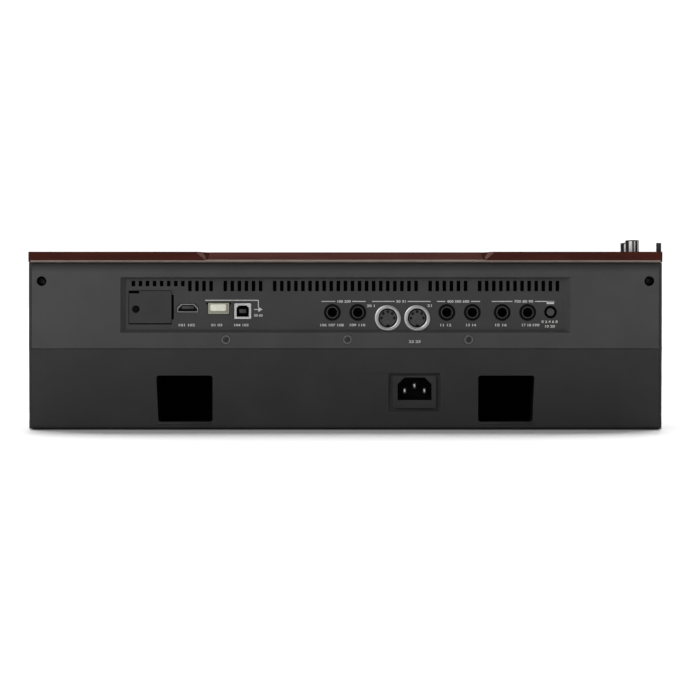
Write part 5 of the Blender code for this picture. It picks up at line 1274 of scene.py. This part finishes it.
def knob_details():
    """Bright inlays that paint reflection stripes on the two small knobs, a pointer on each, and a scale
    printed round each.
    """
    outer = KNOB_RADIUS + INLAY_PROUD
    inner = outer - INLAY_THICK
    low = CONTROL_GAP + INLAY_FROM_END
    top = CONTROL_GAP + KNOB_HEIGHT
    for name in ("volume_knob", "tone_knob"):
        place = control_place(name, KNOB_HEIGHT)
        reflection_inlays = []
        for turn in (QUARTER, 3 * QUARTER):
            for around, half in REFLECTION_INLAYS:
                start, end = about(turn + around, (-half, half))
                outline = arc((0, 0), outer, start, end, INLAY_STEPS)
                outline += arc((0, 0), inner, end, start, INLAY_STEPS)
                reflection_inlays.append(drawn(outline, low, top - INLAY_FROM_END, THIN_SOFT))
        piece(f"{name}_inlays", joined(reflection_inlays), place, "reflection_stripe_inlay", body=name)
        spot = (0, KNOB_RADIUS * POINTER_OUT)
        outline = rounded(spot, POINTER_WIDTH, POINTER_LENGTH, POINTER_CORNER, TINY_CORNER_STEPS)
        pointer = drawn(outline, top - LIFT, top + PRINT_THICK)
        piece(f"{name}_pointer", pointer, place, "white_print", body=name)
        ticks = []
        for index in range(TICK_COUNT):
            angle = QUARTER - TICK_SPAN / 2 + TICK_SPAN * index / (TICK_COUNT - 1)
            tick = bar(KNOB_RADIUS + TICK_OUT, 0, TICK_LENGTH, TICK_WIDTH)
            ticks.append(moved(tick, Matrix.Rotation(angle, 4, "Z")))
        piece(f"{name}_scale", joined(ticks), place, "white_print")


def dial_details():
    """A ribbed grip on the dial, and a bright collar on the deck round it."""
    place = control_place("data_dial", DIAL_HEIGHT)
    outline = []
    for index in range(2 * DIAL_RIBS):
        radius = DIAL_RADIUS + DIAL_RIB_HEIGHTS[index % 2]
        angle = 2 * QUARTER * index / DIAL_RIBS
        outline.append((radius * math.cos(angle), radius * math.sin(angle)))
    grip = drawn(outline, CONTROL_GAP + DIAL_GRIP_LOW, CONTROL_GAP + DIAL_HEIGHT - DIAL_GRIP_TOP)
    piece("data_dial_grip", grip, place, "rubber", body="data_dial")
    collar = [(DIAL_RADIUS + out, height) for out, height in DIAL_COLLAR]
    piece("data_dial_collar", lathe(collar, DIAL_COLLAR_STEPS), place, "satin_nickel")


def button_details():
    """Plain symbols on the two buttons, with a small lamp above each."""
    half = MARK_HEIGHT / 2
    play = [(PLAY_X[0], -half), (PLAY_X[1], 0), (PLAY_X[0], half)]
    stop = rectangle((STOP_X, 0), STOP_SIDE, STOP_SIDE)
    pause = [rectangle((x, 0), PAUSE_WIDTH, MARK_HEIGHT) for x in (-PAUSE_X, PAUSE_X)]
    top = BUTTON_TOP + HAIR
    for name, outlines in (("start_stop_button", (play, stop)), ("variation_button", pause)):
        centre = middle(name)
        place = on_deck(centre.x, centre.y)
        marks = [drawn(outline, top, top + PRINT_THICK) for outline in outlines]
        piece(f"{name}_mark", joined(marks), place, "white_print", body=name)
        spot = place @ Matrix.Translation((0, LAMP_FROM_BUTTON, 0))
        piece(f"{name}_lamp", lathe(LAMP_PROFILE, LAMP_STEPS, closed=False), spot, "red_led")


def wheel_details():
    """Fine ribs across the two wheels, on both sides of their notches."""
    width = WHEEL_WIDTH - WHEEL_RIB_SIDES
    outline = rounded((0, 0), width, WHEEL_RIB_WIDTH, WHEEL_RIB_CORNER, TINY_CORNER_STEPS)
    for name in ("pitch_wheel", "modulation_wheel"):
        centre = middle(name)
        axis = Matrix.Translation((centre.x, centre.y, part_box(name)[0].z + WHEEL_RADIUS))
        ribs = []
        for side in (-1, 1):
            for step in WHEEL_RIBS:
                rib = drawn(outline, WHEEL_RADIUS - WHEEL_RIB_HALF, WHEEL_RADIUS + WHEEL_RIB_HALF, FINE_SOFT)
                ribs.append(moved(rib, Matrix.Rotation(side * step * WHEEL_RIB_STEP, 4, "X")))
        piece(f"{name}_ribs", joined(ribs), axis, "rubber", body=name)


def display_details():
    """A fine border printed under the edge of the display glass."""
    extent = size("display_glass")
    y = middle("display_glass").y
    width = extent.x - BORDER_INSET
    length = extent.y / math.cos(deck_at(y)[1]) - BORDER_INSET
    outer = rounded((0, 0), width, length, BORDER_CORNER)
    inner = rounded((0, 0), width - BORDER_LINE, length - BORDER_LINE, BORDER_CORNER - BORDER_LINE / 2)
    border = tube(outer, inner, HAIR, HAIR + PRINT_THICK)
    place = on_deck(0, y) @ Matrix.Translation((0, 0, -BORDER_DROP))
    piece("display_border", border, place, "grey_print")


def speaker_details():
    """A soft rolled surround round each speaker's cone."""
    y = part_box("top_deck")[1].y - REAR_ZONE - SPEAKER_FROM_ZONE
    profile = arc((SURROUND_RADIUS, -SURROUND_DROP), SURROUND_ROLL, 0, math.pi, SURROUND_STEPS)
    for name in ("speaker_left", "speaker_right"):
        piece(f"{name}_surround", lathe(profile), on_deck(middle(name).x, y), "rubber")


def make_floor():
    """A pale floor that runs past every edge of the picture."""
    shape = bmesh.new()
    shape.faces.new(loop(shape, rectangle((0, 0), 2 * FLOOR_REACH, 2 * FLOOR_REACH), 0))
    mesh = bpy.data.meshes.new("floor")
    shape.to_mesh(mesh)
    shape.free()
    mesh.materials.append(finishes["pale_floor"])
    in_scene("floor", mesh)


def make_lights():
    """A white studio: an even backdrop, a broad sun from the player's side and a soft fill at the rear."""
    world = bpy.data.worlds.new("studio")
    world.use_nodes = True
    tree = world.node_tree
    background = tree.nodes["Background"]
    background.inputs["Color"].default_value = (1, 1, 1, 1)
    path = tree.nodes.new("ShaderNodeLightPath")
    strength = node_after(tree, "ShaderNodeMapRange", path.outputs["Is Camera Ray"], "Value")
    strength.inputs["To Min"].default_value = SURROUND_LIGHT
    strength.inputs["To Max"].default_value = BACKDROP_LIGHT
    tree.links.new(strength.outputs["Result"], background.inputs["Strength"])
    bpy.context.scene.world = world
    bpy.context.scene.view_settings.view_transform = "Standard"
    key = bpy.data.lights.new("key", "SUN")
    key.energy = KEY_STRENGTH
    key.angle = KEY_ANGLE
    in_scene("key", key).rotation_euler = (KEY_TILT, 0, 0)
    fill = bpy.data.lights.new("behind_camera", "AREA")
    fill.shape = "RECTANGLE"
    fill.size = FILL_WIDTH
    fill.size_y = FILL_HEIGHT
    fill.energy = FILL_POWER
    light = in_scene("behind_camera", fill)
    light.location = FILL_PLACE
    aim = Vector(FILL_TARGET) - Vector(FILL_PLACE)
    light.rotation_euler = aim.to_track_quat("-Z", "Y").to_euler()


def make_camera():
    """A level camera behind the object, framed as the photograph is."""
    data = bpy.data.cameras.new("camera")
    data.sensor_width = SENSOR_WIDTH
    data.lens = PIXELS_PER_METRE * CAMERA_DISTANCE * SENSOR_WIDTH / FRAME_PIXELS
    half_frame = FRAME_PIXELS / 2
    data.shift_x = (half_frame - MIDDLE_PIXEL_X) / FRAME_PIXELS
    horizon = FLOOR_PIXEL_Y - CAMERA_HEIGHT * PIXELS_PER_METRE
    data.shift_y = (horizon - half_frame) / FRAME_PIXELS
    camera = in_scene("camera", data)
    camera.location = (0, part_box("rear_panel")[1].y + CAMERA_DISTANCE, CAMERA_HEIGHT)
    camera.rotation_euler = (QUARTER, 0, math.pi)
    bpy.context.scene.camera = camera


def main():
    """Dress the model, then set up the light and the camera."""
    make_materials()
    dress_nodes()
    inner_screens()
    panel_sills()
    deck_trim_highlight()
    scoop_highlight_plates()
    jack_trims()
    midi_trims()
    socket_liners()
    socket_tongues()
    gain_collar()
    inlet_pins()
    bright_screws()
    deep_screws()
    cover_fittings()
    floor_screws()
    field_prints()
    knob_details()
    dial_details()
    button_details()
    wheel_details()
    display_details()
    speaker_details()
    make_floor()
    make_lights()
    make_camera()


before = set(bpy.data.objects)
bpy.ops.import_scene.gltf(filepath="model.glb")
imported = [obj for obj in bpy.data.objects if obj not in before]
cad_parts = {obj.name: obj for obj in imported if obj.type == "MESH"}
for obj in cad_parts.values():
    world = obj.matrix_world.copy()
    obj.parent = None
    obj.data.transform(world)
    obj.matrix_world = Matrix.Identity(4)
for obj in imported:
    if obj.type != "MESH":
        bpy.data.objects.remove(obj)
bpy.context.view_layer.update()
main()
